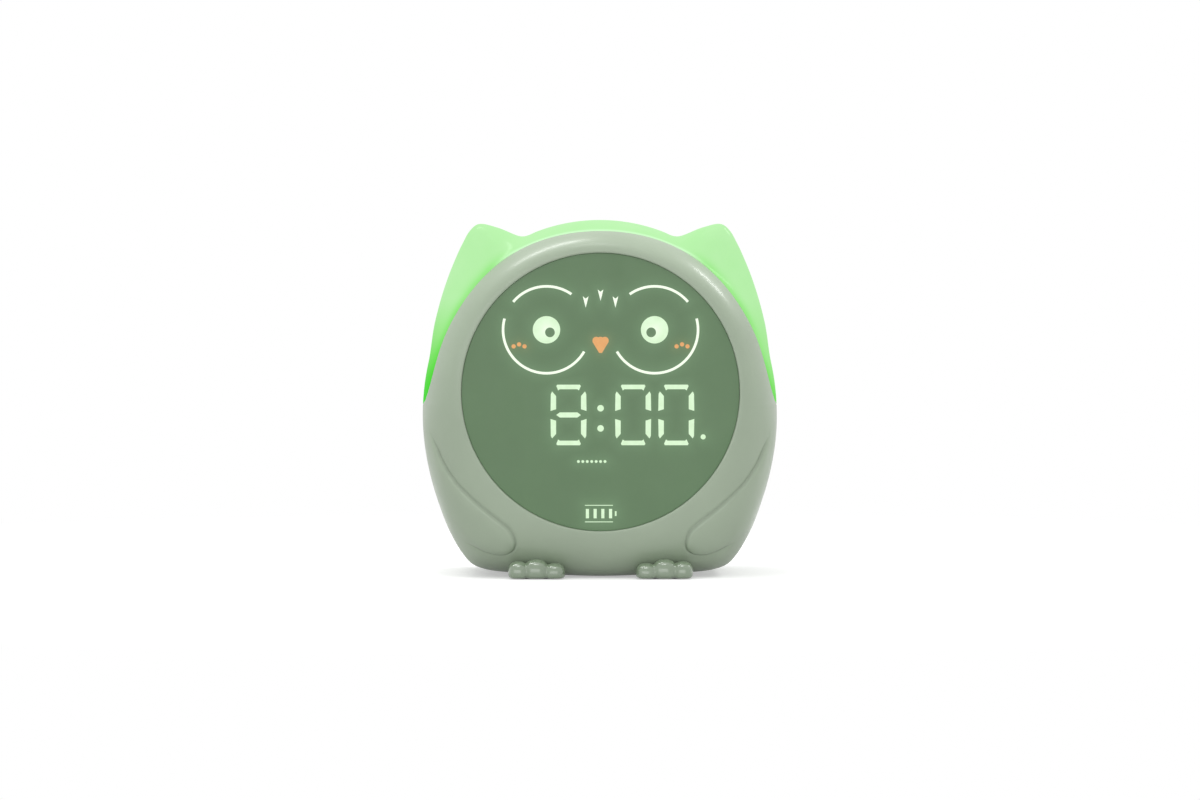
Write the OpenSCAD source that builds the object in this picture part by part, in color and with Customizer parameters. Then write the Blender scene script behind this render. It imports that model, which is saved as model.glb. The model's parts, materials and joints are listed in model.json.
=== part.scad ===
// Owl-shaped bedside alarm clock with a night light.
// Millimetres, +Z up, the display faces -Y, and the clock stands on Z = 0 with its middle over the origin.

/* [Body] */
// Width across the widest place
body_w = 125; // [118:1:130]
// Depth from the display rim to the back
body_depth = 82; // [78:1:86]
// Wall thickness of the three shells
wall = 2.2; // [1.8:0.1:2.6]
// Height of the ears above the dome
ear_rise = 13; // [6:0.5:14]
// How far the moulded wings stand out
wing_rise = 1.5; // [0.6:0.1:1.8]

/* [Display] */
// Diameter of the display opening
display_d = 97.4; // [96:0.1:98]
// Height of one digit
digit_h = 21.2; // [20:0.2:22.4]
// Hour digit shown
shown_hour = 8; // [0:1:9]
// Minutes shown
shown_minutes = 0; // [0:1:59]

/* [Controls] */
// Diameter of the back buttons
button_d = 8; // [6:0.5:9]
// How far a button travels
button_travel = 0.5; // [0.3:0.1:0.6]

/* [Hidden] */
$fn = 48;

// ---- Driving geometry -------------------------------------------------------------------------
half_w = body_w / 2;
front_y = -body_depth / 2 + 1.5;   // rim of the display
rear_y = front_y + body_depth;     // back of the body
centre_z = 60;                     // widest height, where the hood meets the rear shell
display_z = 65.5;                  // middle of the display
display_r = display_d / 2;
display_off = display_z - centre_z;
parting_y = front_y + 31;          // where the front shell meets the rear shell
fit_gap = 0.25;                    // open gap round the lens and the panel

// Half outline of the body: angle from the top, radius as a share of the half width.
OUTLINE = [
    [0, 1.047], [30, 1.04], [60, 1.018], [75, 0.999], [90, 1], [106, 1.02], [120, 1.059],
    [132, 1.115], [137, 1.137], [141, 1.1456], [145, 1.1232], [152, 1.062], [165, 0.9795], [180, 0.952]
];
// Ear: angle from the top, share of ear_rise.
EAR = [
    [20, 0], [25, 0.06], [30, 0.6], [33.5, 0.94], [36.5, 0.95], [40, 0.82], [46, 0.595], [54, 0.35],
    [63, 0.15], [76, 0]
];
// Front edge of the hood: angle from the top, share of the way round the front roll.
SEAM = [
    [0, 0.48], [30, 0.535], [50, 0.515], [60, 0.52], [73, 0.575], [80, 0.62], [84, 0.67], [87, 0.745],
    [88.7, 0.82], [90, 1.06]
];
// Depth of the front roll: angle from the top, millimetres.
ROLL = [[0, 26], [95, 26], [140, 19], [180, 11.5]];
// Squareness of the back: angle from the top, superellipse exponent.
SQUARE = [[0, 2.8], [60, 3], [90, 4], [125, 7], [180, 8]];
// Wing: angle from the top, share of the way round the front roll where its upper and lower edges lie.
WING_TOP = [
    [92, 1.04], [100, 0.51], [107, 0.42], [114, 0.345], [123, 0.27], [131, 0.215], [140, 0.195],
    [149, 0.33]
];
WING_LOW = [
    [92, 1.5], [122, 1.2], [131, 0.8], [136, 0.62], [140, 0.545], [144, 0.51], [149, 0.46]
];
wing_edge = 0.05;                  // width of the wing's rounded edge, as a share of the front roll
wing_tip = 148.5;                  // angle at which the wing ends

// ---- Curves -----------------------------------------------------------------------------------
function slope(k, i) =
    (i == 0 || i == len(k) - 1) ? 0
    : (k[i + 1][1] - k[i - 1][1]) / (k[i + 1][0] - k[i - 1][0]);
function hermite(k, i, x) =
    let (h = k[i + 1][0] - k[i][0], t = (x - k[i][0]) / h)
    (2 * t^3 - 3 * t^2 + 1) * k[i][1] + (t^3 - 2 * t^2 + t) * h * slope(k, i)
    + (3 * t^2 - 2 * t^3) * k[i + 1][1] + (t^3 - t^2) * h * slope(k, i + 1);
function curve(k, x, i = 0) =
    x <= k[0][0] ? k[0][1]
    : x >= k[len(k) - 1][0] ? k[len(k) - 1][1]
    : x <= k[i + 1][0] ? hermite(k, i, x) : curve(k, x, i + 1);
function smooth(t) = let (c = min(1, max(0, t))) c * c * (3 - 2 * c);
function folded(a) = let (m = abs(a) % 360) m > 180 ? 360 - m : m;   // same angle on either side

// ---- Body surface -----------------------------------------------------------------------------
// A point is named by its angle a round the display, from the top, and by s: 0 at the display rim,
// 1 at the widest section and 2 at the middle of the back.
function rim_r(a) =
    display_off * cos(a) + sqrt(display_r^2 - (display_off * sin(a))^2);
function full_r(a) = half_w * curve(OUTLINE, folded(a));
function roll(a) = curve(ROLL, folded(a));
function round_share(n, b) = pow(pow(cos(b), n) + pow(sin(b), n), -1 / n);
function body_y(a, s) =
    s <= 1 ? front_y + roll(a) * (1 - cos(90 * s))
    : let (n = curve(SQUARE, folded(a)), b = 90 * (s - 1))
        front_y + roll(a) + (body_depth - roll(a)) * round_share(n, b) * sin(b);
function plain_r(a, s) =
    s <= 1 ? rim_r(a) + (full_r(a) - rim_r(a)) * sin(90 * s)
    : let (n = curve(SQUARE, folded(a)), b = 90 * (s - 1)) full_r(a) * round_share(n, b) * cos(b);
ear_peak = 20.5;                   // depth of the ears' ridge behind the display rim
ear_front = 12.2;                  // how far they reach forward and back from that ridge
ear_back = 38;
function ear_depth(y) =
    let (t = y - front_y - ear_peak) t < 0 ? smooth(1 + t / ear_front) : smooth(1 - t / ear_back);
function ear_r(a, s) = s < 0.3 ? 0 : ear_rise * curve(EAR, folded(a)) * ear_depth(body_y(a, s));
function wing_up(a, s) =
    let (f = folded(a), lift = min(1, (wing_tip - f) / 5))
    (f < 92 || f > wing_tip || s > 1) ? 0
    : let (inner = smooth((s - curve(WING_TOP, f)) / wing_edge),
            outer = smooth((curve(WING_LOW, f) - s) / wing_edge))
        wing_rise * sqrt(inner * outer * max(0, lift)) * smooth((1 - s) / 0.5);
function polar(a, r, y) = [r * sin(a), y, centre_z + r * cos(a)];
function skin(a, s) = polar(a, plain_r(a, s) + ear_r(a, s), body_y(a, s));
function unit(v) = v / norm(v);
function outward(a, s) =
    s > 1.995 ? [0, 1, 0]
    : let (e = 0.004, s0 = max(0, s - e), s1 = min(1.999, s + e))
        unit(cross(skin(a + 0.5, s) - skin(a - 0.5, s), skin(a, s1) - skin(a, s0)));
// The skin pushed outwards by d, which is negative for the inside of a wall.
function skin_off(a, s, d) = skin(a, s) + d * outward(a, s);
function seam_s(a) = curve(SEAM, folded(a));
function parting_s(a) =
    let (n = curve(SQUARE, folded(a)), t = (parting_y - front_y - roll(a)) / (body_depth - roll(a)))
    1 + atan2(t, pow(1 - pow(t, n), 1 / n)) / 90;
function front_end(a) = folded(a) <= 90 ? min(seam_s(a), parting_s(a)) : parting_s(a);

// ---- Solids made of grids ---------------------------------------------------------------------
// Closed solid between an outer and an inner grid. Both have the same columns and their own rows;
// wrap joins the last column to the first.
function grid_faces(cols, rows, base, flip, wrap) = [
    for (c = [0 : wrap ? cols - 1 : cols - 2], r = [0 : rows - 2])
        let (d = (c + 1) % cols, p = base + c * rows + r, q = base + d * rows + r)
        for (f = flip ? [[p, q, q + 1], [p, q + 1, p + 1]] : [[p, q + 1, q], [p, p + 1, q + 1]]) f
];
function edge_faces(cols, ro, ri, base, at_end, wrap) = [
    for (c = [0 : wrap ? cols - 1 : cols - 2])
        let (d = (c + 1) % cols,
            o1 = c * ro + (at_end ? ro - 1 : 0), o2 = d * ro + (at_end ? ro - 1 : 0),
            i1 = base + c * ri + (at_end ? ri - 1 : 0), i2 = base + d * ri + (at_end ? ri - 1 : 0))
        for (f = at_end ? [[o1, i2, o2], [o1, i1, i2]] : [[o1, o2, i2], [o1, i2, i1]]) f
];
function side_fan(outer, inner, at_last) =   // closes one open side, between the two grids' columns
    let (no = len(outer), ni = len(inner))
    [for (i = [0 : no - 2])
        let (j = round(i * (ni - 1) / (no - 1)), k = round((i + 1) * (ni - 1) / (no - 1)))
        let (first = [outer[i], outer[i + 1], inner[j]], second = [outer[i + 1], inner[k], inner[j]])
        for (f = k > j ? [first, second] : [first]) at_last ? f : [f[0], f[2], f[1]]];
function numbers(first, n) = [for (i = [0 : n - 1]) first + i];
module shell_between(outer, inner, wrap) {
    cols = len(outer);
    ro = len(outer[0]);
    ri = len(inner[0]);
    base = cols * ro;
    last = cols - 1;
    polyhedron(
        points = concat([for (c = outer, p = c) p], [for (c = inner, p = c) p]),
        faces = concat(
            grid_faces(cols, ro, 0, false, wrap),
            grid_faces(cols, ri, base, true, wrap),
            edge_faces(cols, ro, ri, base, false, wrap),
            edge_faces(cols, ro, ri, base, true, wrap),
            wrap ? [] : side_fan(numbers(0, ro), numbers(base, ri), false),
            wrap ? [] : side_fan(numbers(last * ro, ro), numbers(base + last * ri, ri), true)
        ),
        convexity = 6
    );
}
function steps(from, to, n) = [for (i = [0 : n]) from + (to - from) * i / n];
function mirrored(half) =    // angles from -x to x out of the half from 0
    concat([for (i = [len(half) - 1 : -1 : 1]) -half[i]], half);

// ---- Layout, front to back --------------------------------------------------------------------
lens_y = front_y + 0.7;            // lens face, a little behind the rim
seat_y = front_y + wall;           // flat seat that the lens flange is bonded to
flange_y = seat_y + 0.35;
film_y = flange_y + 1.1;
frame_y = film_y + 0.2;
board_y = frame_y + 5;             // display circuit board
board_t = 1.4;
stack_r = display_r + 1.2;         // radius of the display parts
mid_y = front_y + 22;              // front face of the chassis plate
mid_t = 2;
mid_r = 58.6;
light_y = mid_y + mid_t + 3.4;     // night light board
light_low = 27;                    // lower ends of that board, above the centre
light_posts = [-50, -17, 17, 50];  // angles of its screws, from the top
light_ring = 50.7;                 // radius on which its lamps stand
panel_y = rear_y - 1.3;            // outer face of the control panel
panel_t = 2;
panel_z = centre_z - 14;
panel_half = 33;                   // half distance between the panel's round ends
panel_r = 7;
panel_lip = 1.5;                   // how far the lip behind the panel reaches past it
main_y = rear_y - 9.5;             // main circuit board, front face
button_pitch = 11;
button_r = button_d / 2;
switch_h = 2.5;
cap_back = panel_y - panel_t - 1.5;
slide_x = -33;
slide_travel = 2;
usb_x = 33;
speaker_z = 24.5;
cell_r = 9.2;
cell_len = 65;
cell_y = 7;
cell_z = 15.8;
screw_r = 1.2;
pilot_r = 1.25;
clear_r = 1.5;                     // hole that a screw passes through
pillars = [[49.4, 86.4, 7.5], [36, 18, 3]];   // chassis pillars: x, z and distance behind the rim
pillar_r = 2.75;
towers = [[51, 45, 5.5], [40, 13, 7.5]];      // towers for the case screws, given in the same way
tower_r = 3.4;
tower_back_r = 4;
case_seat = parting_y + 14;        // where the heads of the case screws rest
case_head_r = 2.5;
hood_posts = [[57.2, 5, 6.5], [30, 36.6, 10]];   // posts for the hood screws: x, y and depth of hole
hood_post_r = 3.2;
hood_head_r = 2.2;
hood_seat = centre_z - 3.1;        // where the heads of the hood screws rest
gasket_r = 12.2;                   // speaker gasket
gasket_y = rear_y - 4.2;
grille_hole = 0.9;
grille_pitch = 2.7;

// ---- Plain helpers ----------------------------------------------------------------------------
module rod(r, y0, y1, x = 0, z = 0) {
    translate([x, y1, z]) rotate([90, 0, 0]) cylinder(r = r, h = y1 - y0);
}
module tube(ro, ri, y0, y1, x = 0, z = 0) {
    difference() {
        rod(ro, y0, y1, x, z);
        rod(ri, y0 - 1, y1 + 1, x, z);
    }
}
module pin_z(r, at, h) {                   // upright cylinder, at the middle of its lower end
    translate(at) cylinder(r = r, h = h);
}
module block(size, at) {                   // at the middle of its front face
    translate([at[0] - size[0] / 2, at[1], at[2] - size[2] / 2]) cube(size);
}
module slab(y0, y1) {                      // children drawn flat in X and Z
    translate([0, y1, 0]) rotate([90, 0, 0]) linear_extrude(y1 - y0) children();
}
module both_sides() {
    children();
    mirror([1, 0, 0]) children();
}
module stadium(half, r, y0, y1, z, x = 0) {
    rod(r, y0, y1, x - half, z);
    rod(r, y0, y1, x + half, z);
    block([2 * half, y1 - y0, 2 * r], [x, y0, z]);
}
cross_slot = [3, 1, 0.6];            // one bar of a screw's cross recess
module screw_y(at, tip, head, r = screw_r, head_r = 2.3, head_h = 1.6) {   // tip forward, head behind
    difference() {
        union() {
            rod(r, tip, head, at[0], at[1]);
            rod(head_r, head, head + head_h, at[0], at[1]);
        }
        for (size = [cross_slot, [cross_slot[2], cross_slot[1], cross_slot[0]]])
            block(size, [at[0], head + head_h - 0.7, at[1]]);
    }
}
// Place in X and Z at an angle round a middle, from the top.
function round_at(angle, r, z) = [r * sin(angle), z + r * cos(angle)];
// A round lead swept along its points.
function side_of(d) = abs(d[0]) < 0.8 ? unit(cross(d, [1, 0, 0])) : unit(cross(d, [0, 0, 1]));
function along(p, i) = unit(p[min(i + 1, len(p) - 1)] - p[max(i - 1, 0)]);
module lead(p, r, sides = 8) {
    n = len(p);
    ring = [for (i = [0 : n - 1], k = [0 : sides - 1])
        let (d = along(p, i), u = side_of(d), v = cross(d, u), q = 360 * k / sides)
            p[i] + r * (cos(q) * u + sin(q) * v)];
    walls = [for (i = [0 : n - 2], k = [0 : sides - 1])
        let (j = (k + 1) % sides)
            [i * sides + k, i * sides + j, (i + 1) * sides + j, (i + 1) * sides + k]];
    caps = [[for (k = [sides - 1 : -1 : 0]) k], numbers((n - 1) * sides, sides)];
    polyhedron(points = ring, faces = concat(
        [for (w = walls) [w[0], w[2], w[1]]],
        [for (w = walls) [w[0], w[3], w[2]]],
        [for (c = caps, k = [1 : sides - 2]) [c[0], c[k + 1], c[k]]]
    ));
}
// Points of a smooth lead from the first of four points to the last, drawn towards the two between them.
function bezier(p, n) = [for (i = [0 : n]) let (t = i / n, m = 1 - t)
    m^3 * p[0] + 3 * m^2 * t * p[1] + 3 * m * t^2 * p[2] + t^3 * p[3]];

// ---- Shells -----------------------------------------------------------------------------------
half_columns = concat([0, 6, 12, 17, 21, 25, 28, 31, 34, 37, 41], steps(45, 80, 7), [84, 87, 88.7, 90]);
low_columns = concat(steps(93, 145, 13), [148.5, 152, 157, 164, 172, 180]);
edge_slit = 0.1;                        // left open on each side of the straight edges
seam_slit = 0.0015;                     // share of the roll left open along the curved seam
front_rows = [22, 6];                   // rows of the outer and of the inner skin
hood_rows = [20, 12];
rear_rows = [12, 8];

function outer_point(a, s) = skin_off(a, s, wing_up(a, s));
function column(a, s0, s1, n, d) =
    [for (s = steps(s0, s1, n)) d == 0 ? outer_point(a, s) : skin_off(a, s, d)];
// Column that runs on to the middle of the back.
function back_column(a, s0, n, d) = [
    for (i = [0 : n])
        let (p = i < n ? skin_off(a, s0 + (2 - s0) * i / n, d) : [0, rear_y + d, centre_z])
        beside_edge(p, folded(a) > 90)
];
function beside_edge(p, below) =       // keeps a point on its own side of the straight edges
    [p[0], p[1], below ? min(p[2], centre_z - edge_slit) : max(p[2], centre_z + edge_slit)];
function back_skin(angles, starts, n, d) =
    [for (i = [0 : len(angles) - 1]) back_column(angles[i], starts[i] + seam_slit, n, d)];

module front_skin() {
    half = concat(half_columns, low_columns);
    angles = concat([for (i = [len(half) - 2 : -1 : 1]) -half[i]], half);
    shell_between(
        [for (a = angles) column(a, 0, front_end(a) - seam_slit, front_rows[0], 0)],
        [for (a = angles) column(a, 0, front_end(a) - seam_slit, front_rows[1], -wall)],
        true
    );
}
module hood_skin() {
    angles = mirrored(half_columns);
    starts = [for (a = angles) seam_s(a)];
    shell_between(
        back_skin(angles, starts, hood_rows[0], 0),
        back_skin(angles, starts, hood_rows[1], -wall),
        false
    );
}
module rear_skin() {
    ends = concat([90.01], low_columns);
    angles = concat(ends, [for (i = [len(ends) - 2 : -1 : 0]) 360 - ends[i]]);
    starts = [for (a = angles) parting_s(a)];
    shell_between(
        back_skin(angles, starts, rear_rows[0], 0),
        back_skin(angles, starts, rear_rows[1], -wall),
        false
    );
}

function trim_side(angles, d) =
    [for (a = angles) concat([for (t = steps(1, 1.98, 8)) skin_off(a, t, d)], [[0, rear_y + d, centre_z]])];
module around_rear() {                 // space outside the rear skin, which trims what stands inside it
    angles = steps(88, 272, 24);
    shell_between(trim_side(angles, 7), trim_side(angles, -0.5), false);
}
module grille() {
    places = concat([[0, speaker_z]], [for (ring = [1 : 3], k = [0 : 6 * ring - 1])
        round_at(60 * k / ring + 90, grille_pitch * ring, speaker_z)]);
    for (at = places) rod(grille_hole, panel_y - 8, rear_y + 3, at[0], at[1]);
}
module front_shell() {
    color("#A0AF96") difference() {
        union() {
            front_skin();
            both_sides() {
                for (p = pillars) rod(pillar_r, front_y + p[2], mid_y, p[0], p[1]);
                for (t = towers) rod(tower_r, front_y + t[2], parting_y - 0.1, t[0], t[1]);
            }
        }
        rod(stack_r + fit_gap, seat_y, seat_y + 2, 0, display_z);
        both_sides() {
            for (p = pillars) rod(pilot_r, mid_y - 7, mid_y + 1, p[0], p[1]);
            for (t = towers) rod(pilot_r, parting_y - 14, parting_y + 1, t[0], t[1]);
            foot_shape();
        }
    }
}
module rear_shell() {
    color("#A0AF96") difference() {
        union() {
            rear_skin();
            difference() {
                union() {
                    both_sides() {
                        for (t = towers) rod(tower_back_r, parting_y + 0.1, rear_y - 3, t[0], t[1]);
                        hood_lug(hood_posts[0], centre_z - 8);
                        hood_lug(hood_posts[1], centre_z - 5.6);
                    }
                    tube(gasket_r + 1.2, gasket_r - 1, rear_y - 8, rear_y, 0, speaker_z);
                }
                around_rear();
            }
        }
        stadium(panel_half, panel_r + fit_gap, panel_y - 7, rear_y + 2, panel_z);
        stadium(panel_half, panel_r + panel_lip + 0.2, panel_y - 7, panel_y - panel_t, panel_z);
        grille();
        rod(gasket_r + 0.1, rear_y - 9, gasket_y, 0, speaker_z);
        both_sides() {
            for (t = towers) {
                rod(clear_r, parting_y - 1, rear_y + 2, t[0], t[1]);
                rod(case_head_r + 0.3, case_seat, rear_y + 2, t[0], t[1]);
            }
            for (p = hood_posts) {
                pin_z(clear_r, [p[0], p[1], hood_seat - 9], 14);
                pin_z(hood_head_r + 0.2, [p[0], p[1], hood_seat - 9], 9.1);
            }
            rear_pad(-1);
        }
    }
}
module hood_lug(p, z0) {
    pin_z(hood_post_r, [p[0], p[1], z0], centre_z - edge_slit - z0);
}
module night_light_hood() {
    color("#BBF3AD") difference() {
        union() {
            hood_skin();
            both_sides() for (p = hood_posts)
                pin_z(hood_post_r, [p[0], p[1], centre_z + edge_slit], p[2] + 1);
        }
        both_sides() for (p = hood_posts) pin_z(pilot_r, [p[0], p[1], centre_z - 1], p[2]);
    }
}

// ---- Feet and pads ----------------------------------------------------------------------------
toes = [[16.05, 5.6, 3.7], [22.65, 6.9, 4], [28.85, 6.3, 3.5]];   // x of the middle, height and radius
toe_front = front_y - 3.6;
toe_back = -24;
foot_x = 22.2;                                 // middle of the foot
foot_z = 0.2;                                  // sole of the foot above the table
foot_room = [24, 26, 10];                      // space that trims the toes flat below
foot_pad = [12, 7, 1.2];                       // rubber pad set into the sole
foot_pad_y = toe_front + 5;
rear_pad_at = [30, 26];
rear_pad_r = 5;
rear_pad_top = 3;
module foot_shape() {
    intersection() {
        union() for (t = toes) {
            r = t[2];
            rod(r, toe_front + r, toe_back, t[0], t[1] - r);
            translate([t[0], toe_front + r, t[1] - r]) rotate([90, 0, 0]) sphere(r = r);
        }
        block(foot_room, [foot_x, toe_front - 2, foot_z + foot_room[2] / 2]);
    }
}
module foot() {
    difference() {
        foot_shape();
        block([foot_pad[0], foot_pad[1], 2 * foot_pad[2]], [foot_x, foot_pad_y, 0]);
    }
}
module left_foot() { color("#A9B99F") mirror([1, 0, 0]) foot(); }
module right_foot() { color("#A9B99F") foot(); }
module foot_pads() {
    color("#4A4D4A") both_sides() block(foot_pad, [foot_x, foot_pad_y, foot_pad[2] / 2]);
}
module rear_pad(z0) { pin_z(rear_pad_r, [rear_pad_at[0], rear_pad_at[1], z0], rear_pad_top - z0); }
module rear_pads() { color("#4A4D4A") both_sides() rear_pad(0); }

// ---- Display artwork, drawn flat in X and Z ---------------------------------------------------
eye_x = 18.9;
eye_z = 87.3;
eye_r = 4.8;
pupil_r = 1.7;
disc_r = 15.2;                                 // facial disc round each eye
disc_w = 0.9;                                  // width of its line
feather_z = 99.5;
beak_z = 83.5;
cheek_at = [28.5, 81.5];
cheek_dot = 0.75;
stroke = 1.95;                                 // width of a digit's segments
digit_w = 12.6;
bar_len = digit_w - 2 * stroke - 0.1;
upright_len = (digit_h - stroke) / 2 - 2.8;
digit_x = [-11.2, 11.4, 26.5];
digit_z = 57.5;
colon_z = [2.35, -4.7];                        // dots of the colon above the middle of the digits
colon_r = 1.15;
weekday_at = [-3.1, 41.2];                      // middle of a row of seven dots
weekday_pitch = 1.55;
weekday_r = 0.5;
battery_at = [-0.55, 22.95];
battery_line = 0.27;                           // width of the mark's two long lines
battery_w = 9.8;
battery_h = 5.8;
SEGMENTS = [                                   // which of the seven segments each digit lights
    [1, 1, 1, 1, 1, 1, 0], [0, 1, 1, 0, 0, 0, 0], [1, 1, 0, 1, 1, 0, 1], [1, 1, 1, 1, 0, 0, 1],
    [0, 1, 1, 0, 0, 1, 1], [1, 0, 1, 1, 0, 1, 1], [1, 0, 1, 1, 1, 1, 1], [1, 1, 1, 0, 0, 0, 0],
    [1, 1, 1, 1, 1, 1, 1], [1, 1, 1, 1, 0, 1, 1]
];
module dot(x, z, r) { translate([x, z]) circle(r = r); }
module end_bar() {                             // top bar, whose ends turn down a little
    h = stroke / 2;
    e = bar_len / 2;
    polygon([
        [-e + 0.3, h], [e - 0.3, h], [e, h - 0.5], [e - 0.7, -h - 0.1], [e - 1.2, -h + 0.35],
        [-e + 1.2, -h + 0.35], [-e + 0.7, -h - 0.1], [-e, h - 0.5]
    ]);
}
module middle_bar() {
    h = 0.46 * stroke;
    e = bar_len / 2;
    polygon([[-e, 0], [-e + 1.2, h], [e - 1.2, h], [e, 0], [e - 1.2, -h], [-e + 1.2, -h]]);
}
module upright() {                             // upper left bar, pointed towards the top
    h = stroke / 2;
    e = upright_len / 2;
    polygon([[-h + 0.55, e], [-h + 0.1, e - 0.9], [-h, -e], [h, -e + 0.6], [h, e - 1.6]]);
}
module digit(value, x) {
    w = (digit_w - stroke) / 2;
    h = (digit_h - stroke) / 2;
    on = SEGMENTS[value];
    translate([x, digit_z]) {
        if (on[0]) translate([0, h]) end_bar();
        if (on[3]) mirror([0, 1]) translate([0, h]) end_bar();
        if (on[6]) middle_bar();
        if (on[1]) mirror([1, 0]) translate([-w, h / 2]) upright();
        if (on[2]) mirror([1, 0]) mirror([0, 1]) translate([-w, h / 2]) upright();
        if (on[4]) mirror([0, 1]) translate([-w, h / 2]) upright();
        if (on[5]) translate([-w, h / 2]) upright();
    }
}
module arc_line(x, z, r, w, from, to) {        // round line from one angle to another, counter-clockwise
    sides = 4;
    reach = (r + w) * 1.5;
    difference() {
        dot(x, z, r + w / 2);
        dot(x, z, r - w / 2);
        translate([x, z]) polygon(concat([[0, 0]],
            [for (i = [0 : sides]) let (q = to + (360 + from - to) * i / sides) reach * [cos(q), sin(q)]]));
    }
}
module owl_face() {
    for (side = [-1, 1]) {
        difference() {
            dot(side * eye_x, eye_z, eye_r);
            dot(side * (eye_x - 1.2), eye_z - 0.9, pupil_r);
        }
        arc_line(side * eye_x, eye_z, disc_r, disc_w, side > 0 ? -150 : -195, side > 0 ? 15 : -30);
        arc_line(side * eye_x, eye_z, disc_r, disc_w, side > 0 ? 40 : 55, side > 0 ? 125 : 140);
    }
    for (k = [-1 : 1])                         // three small feathers on the forehead
        translate([5.2 * k, feather_z - 2.4 * abs(k)]) polygon([[-1, 1.9], [0, 1.1], [1, 1.9], [0, -2.1]]);
}
module clock_face() {
    digit(shown_hour, digit_x[0]);
    digit(floor(shown_minutes / 10), digit_x[1]);
    digit(shown_minutes % 10, digit_x[2]);
    for (z = colon_z) dot(0, digit_z + z, colon_r);
    dot(35.9, 49.8, 0.9);
    for (k = [-3 : 3]) dot(weekday_at[0] + weekday_pitch * k, weekday_at[1], weekday_r);
}
module battery_mark() {
    translate(battery_at) {
        for (side = [-1, 1])
            translate([0, side * battery_h / 2]) square([battery_w, battery_line], center = true);
        for (k = [-1.5 : 1.5]) translate([2.7 * k, 0]) square([1.1, 3.3], center = true);
        translate([5.85, 0]) square([0.6, 1.7], center = true);
    }
}
module beak_and_cheeks() {
    dot(0, beak_z, 1.35);
    for (side = [-1, 1]) {
        dot(side * 1.5, beak_z, 1.35);
        for (k = [-1 : 1]) dot(side * (cheek_at[0] + 1.9 * k), cheek_at[1] + (k == 0 ? 0.7 : 0), cheek_dot);
    }
    translate([0, beak_z]) polygon([[-2.6, -0.8], [2.6, -0.8], [0.5, -4.3], [-0.5, -4.3]]);
}
module mint_art() {
    owl_face();
    clock_face();
    battery_mark();
}

// ---- Display parts ----------------------------------------------------------------------------
eye_room = 16.4;                               // opening behind each eye and its disc
board_screws = [70, 130, 230, 290];            // angles of the display board's screws
board_screw_ring = 44;
board_screw_r = 0.85;
led_size = [1.2, 0.6, 1.2];
function board_screw_at(q) = round_at(q, board_screw_ring, display_z);
module display_lens() {
    color("#6C8569") difference() {
        union() {
            rod(display_r - fit_gap, lens_y, flange_y + 0.1, 0, display_z);
            rod(stack_r, flange_y, film_y, 0, display_z);
        }
        slab(lens_y - 1, film_y + 1) { mint_art(); beak_and_cheeks(); }
    }
}
module lit_windows() { color("#D9F7D2") slab(lens_y, film_y) mint_art(); }
module orange_windows() { color("#EEA05F") slab(lens_y, film_y) beak_and_cheeks(); }
module lens_adhesive_ring() {
    color("#E8E8E0") tube(stack_r - 0.05, display_r + 0.1, seat_y, flange_y, 0, display_z);
}
module diffuser_film() { color("#F4F6F0") rod(stack_r, film_y, frame_y, 0, display_z); }
module segment_light_frame() {
    color("#F2F2EE") difference() {
        rod(stack_r, frame_y, board_y, 0, display_z);
        slab(frame_y - 1, board_y + 1) { clock_face(); battery_mark(); }
        for (side = [-1, 1]) rod(eye_room, frame_y - 1, board_y + 1, side * eye_x, eye_z);
        block([2 * eye_x, board_y - frame_y + 2, 24], [0, frame_y - 1, 91]);
        for (q = board_screws)
            screw_hole(board_screw_at(q), board_screw_r + 0.05, board_y - 3.6, board_y + 1);
    }
}
module screw_hole(at, r, y0, y1) { rod(r, y0, y1, at[0], at[1]); }
module display_circuit_board() {
    color("#2E5E3C") difference() {
        rod(stack_r - 0.6, board_y, board_y + board_t, 0, display_z);
        for (q = board_screws)
            screw_hole(board_screw_at(q), board_screw_r + 0.25, board_y - 1, board_y + 3);
    }
}
module led(x, z) { block(led_size, [x, board_y - led_size[1], z]); }
module segment_leds() {
    color("#F6F3C8") {
        w = (digit_w - stroke) / 2;
        h = (digit_h - stroke) / 4;
        shown = [shown_hour, floor(shown_minutes / 10), shown_minutes % 10];
        for (d = [0 : 2]) {
            on = SEGMENTS[shown[d]];
            at = [[0, 2 * h], [w, h], [w, -h], [0, -2 * h], [-w, -h], [-w, h], [0, 0]];
            for (k = [0 : 6]) if (on[k]) led(digit_x[d] + at[k][0], digit_z + at[k][1]);
        }
        for (z = colon_z) led(0, digit_z + z);
        for (side = [-1, 1], q = [0 : 60 : 300]) {
            at = round_at(q + 30, 9, eye_z);
            led(side * eye_x + at[0], at[1]);
        }
    }
}
module display_chips() {
    color("#26282B") {
        block([9, 1.2, 9], [-14, board_y + board_t, 74]);
        block([5, 1, 4], [12, board_y + board_t, 80]);
        block([5, 1, 4], [-20, board_y + board_t, 52]);
        for (k = [0 : 4]) block([1.6, 0.7, 0.9], [4 + 3 * k, board_y + board_t, 88]);
        block([14, 1.6, 3.2], [0, board_y + board_t, 59.5]);
    }
}
module display_screws() {
    color("#B9BCBE") for (q = board_screws)
        screw_y(board_screw_at(q), board_y - 3.4, board_y + board_t, board_screw_r, 1.9, 1);
}

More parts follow.
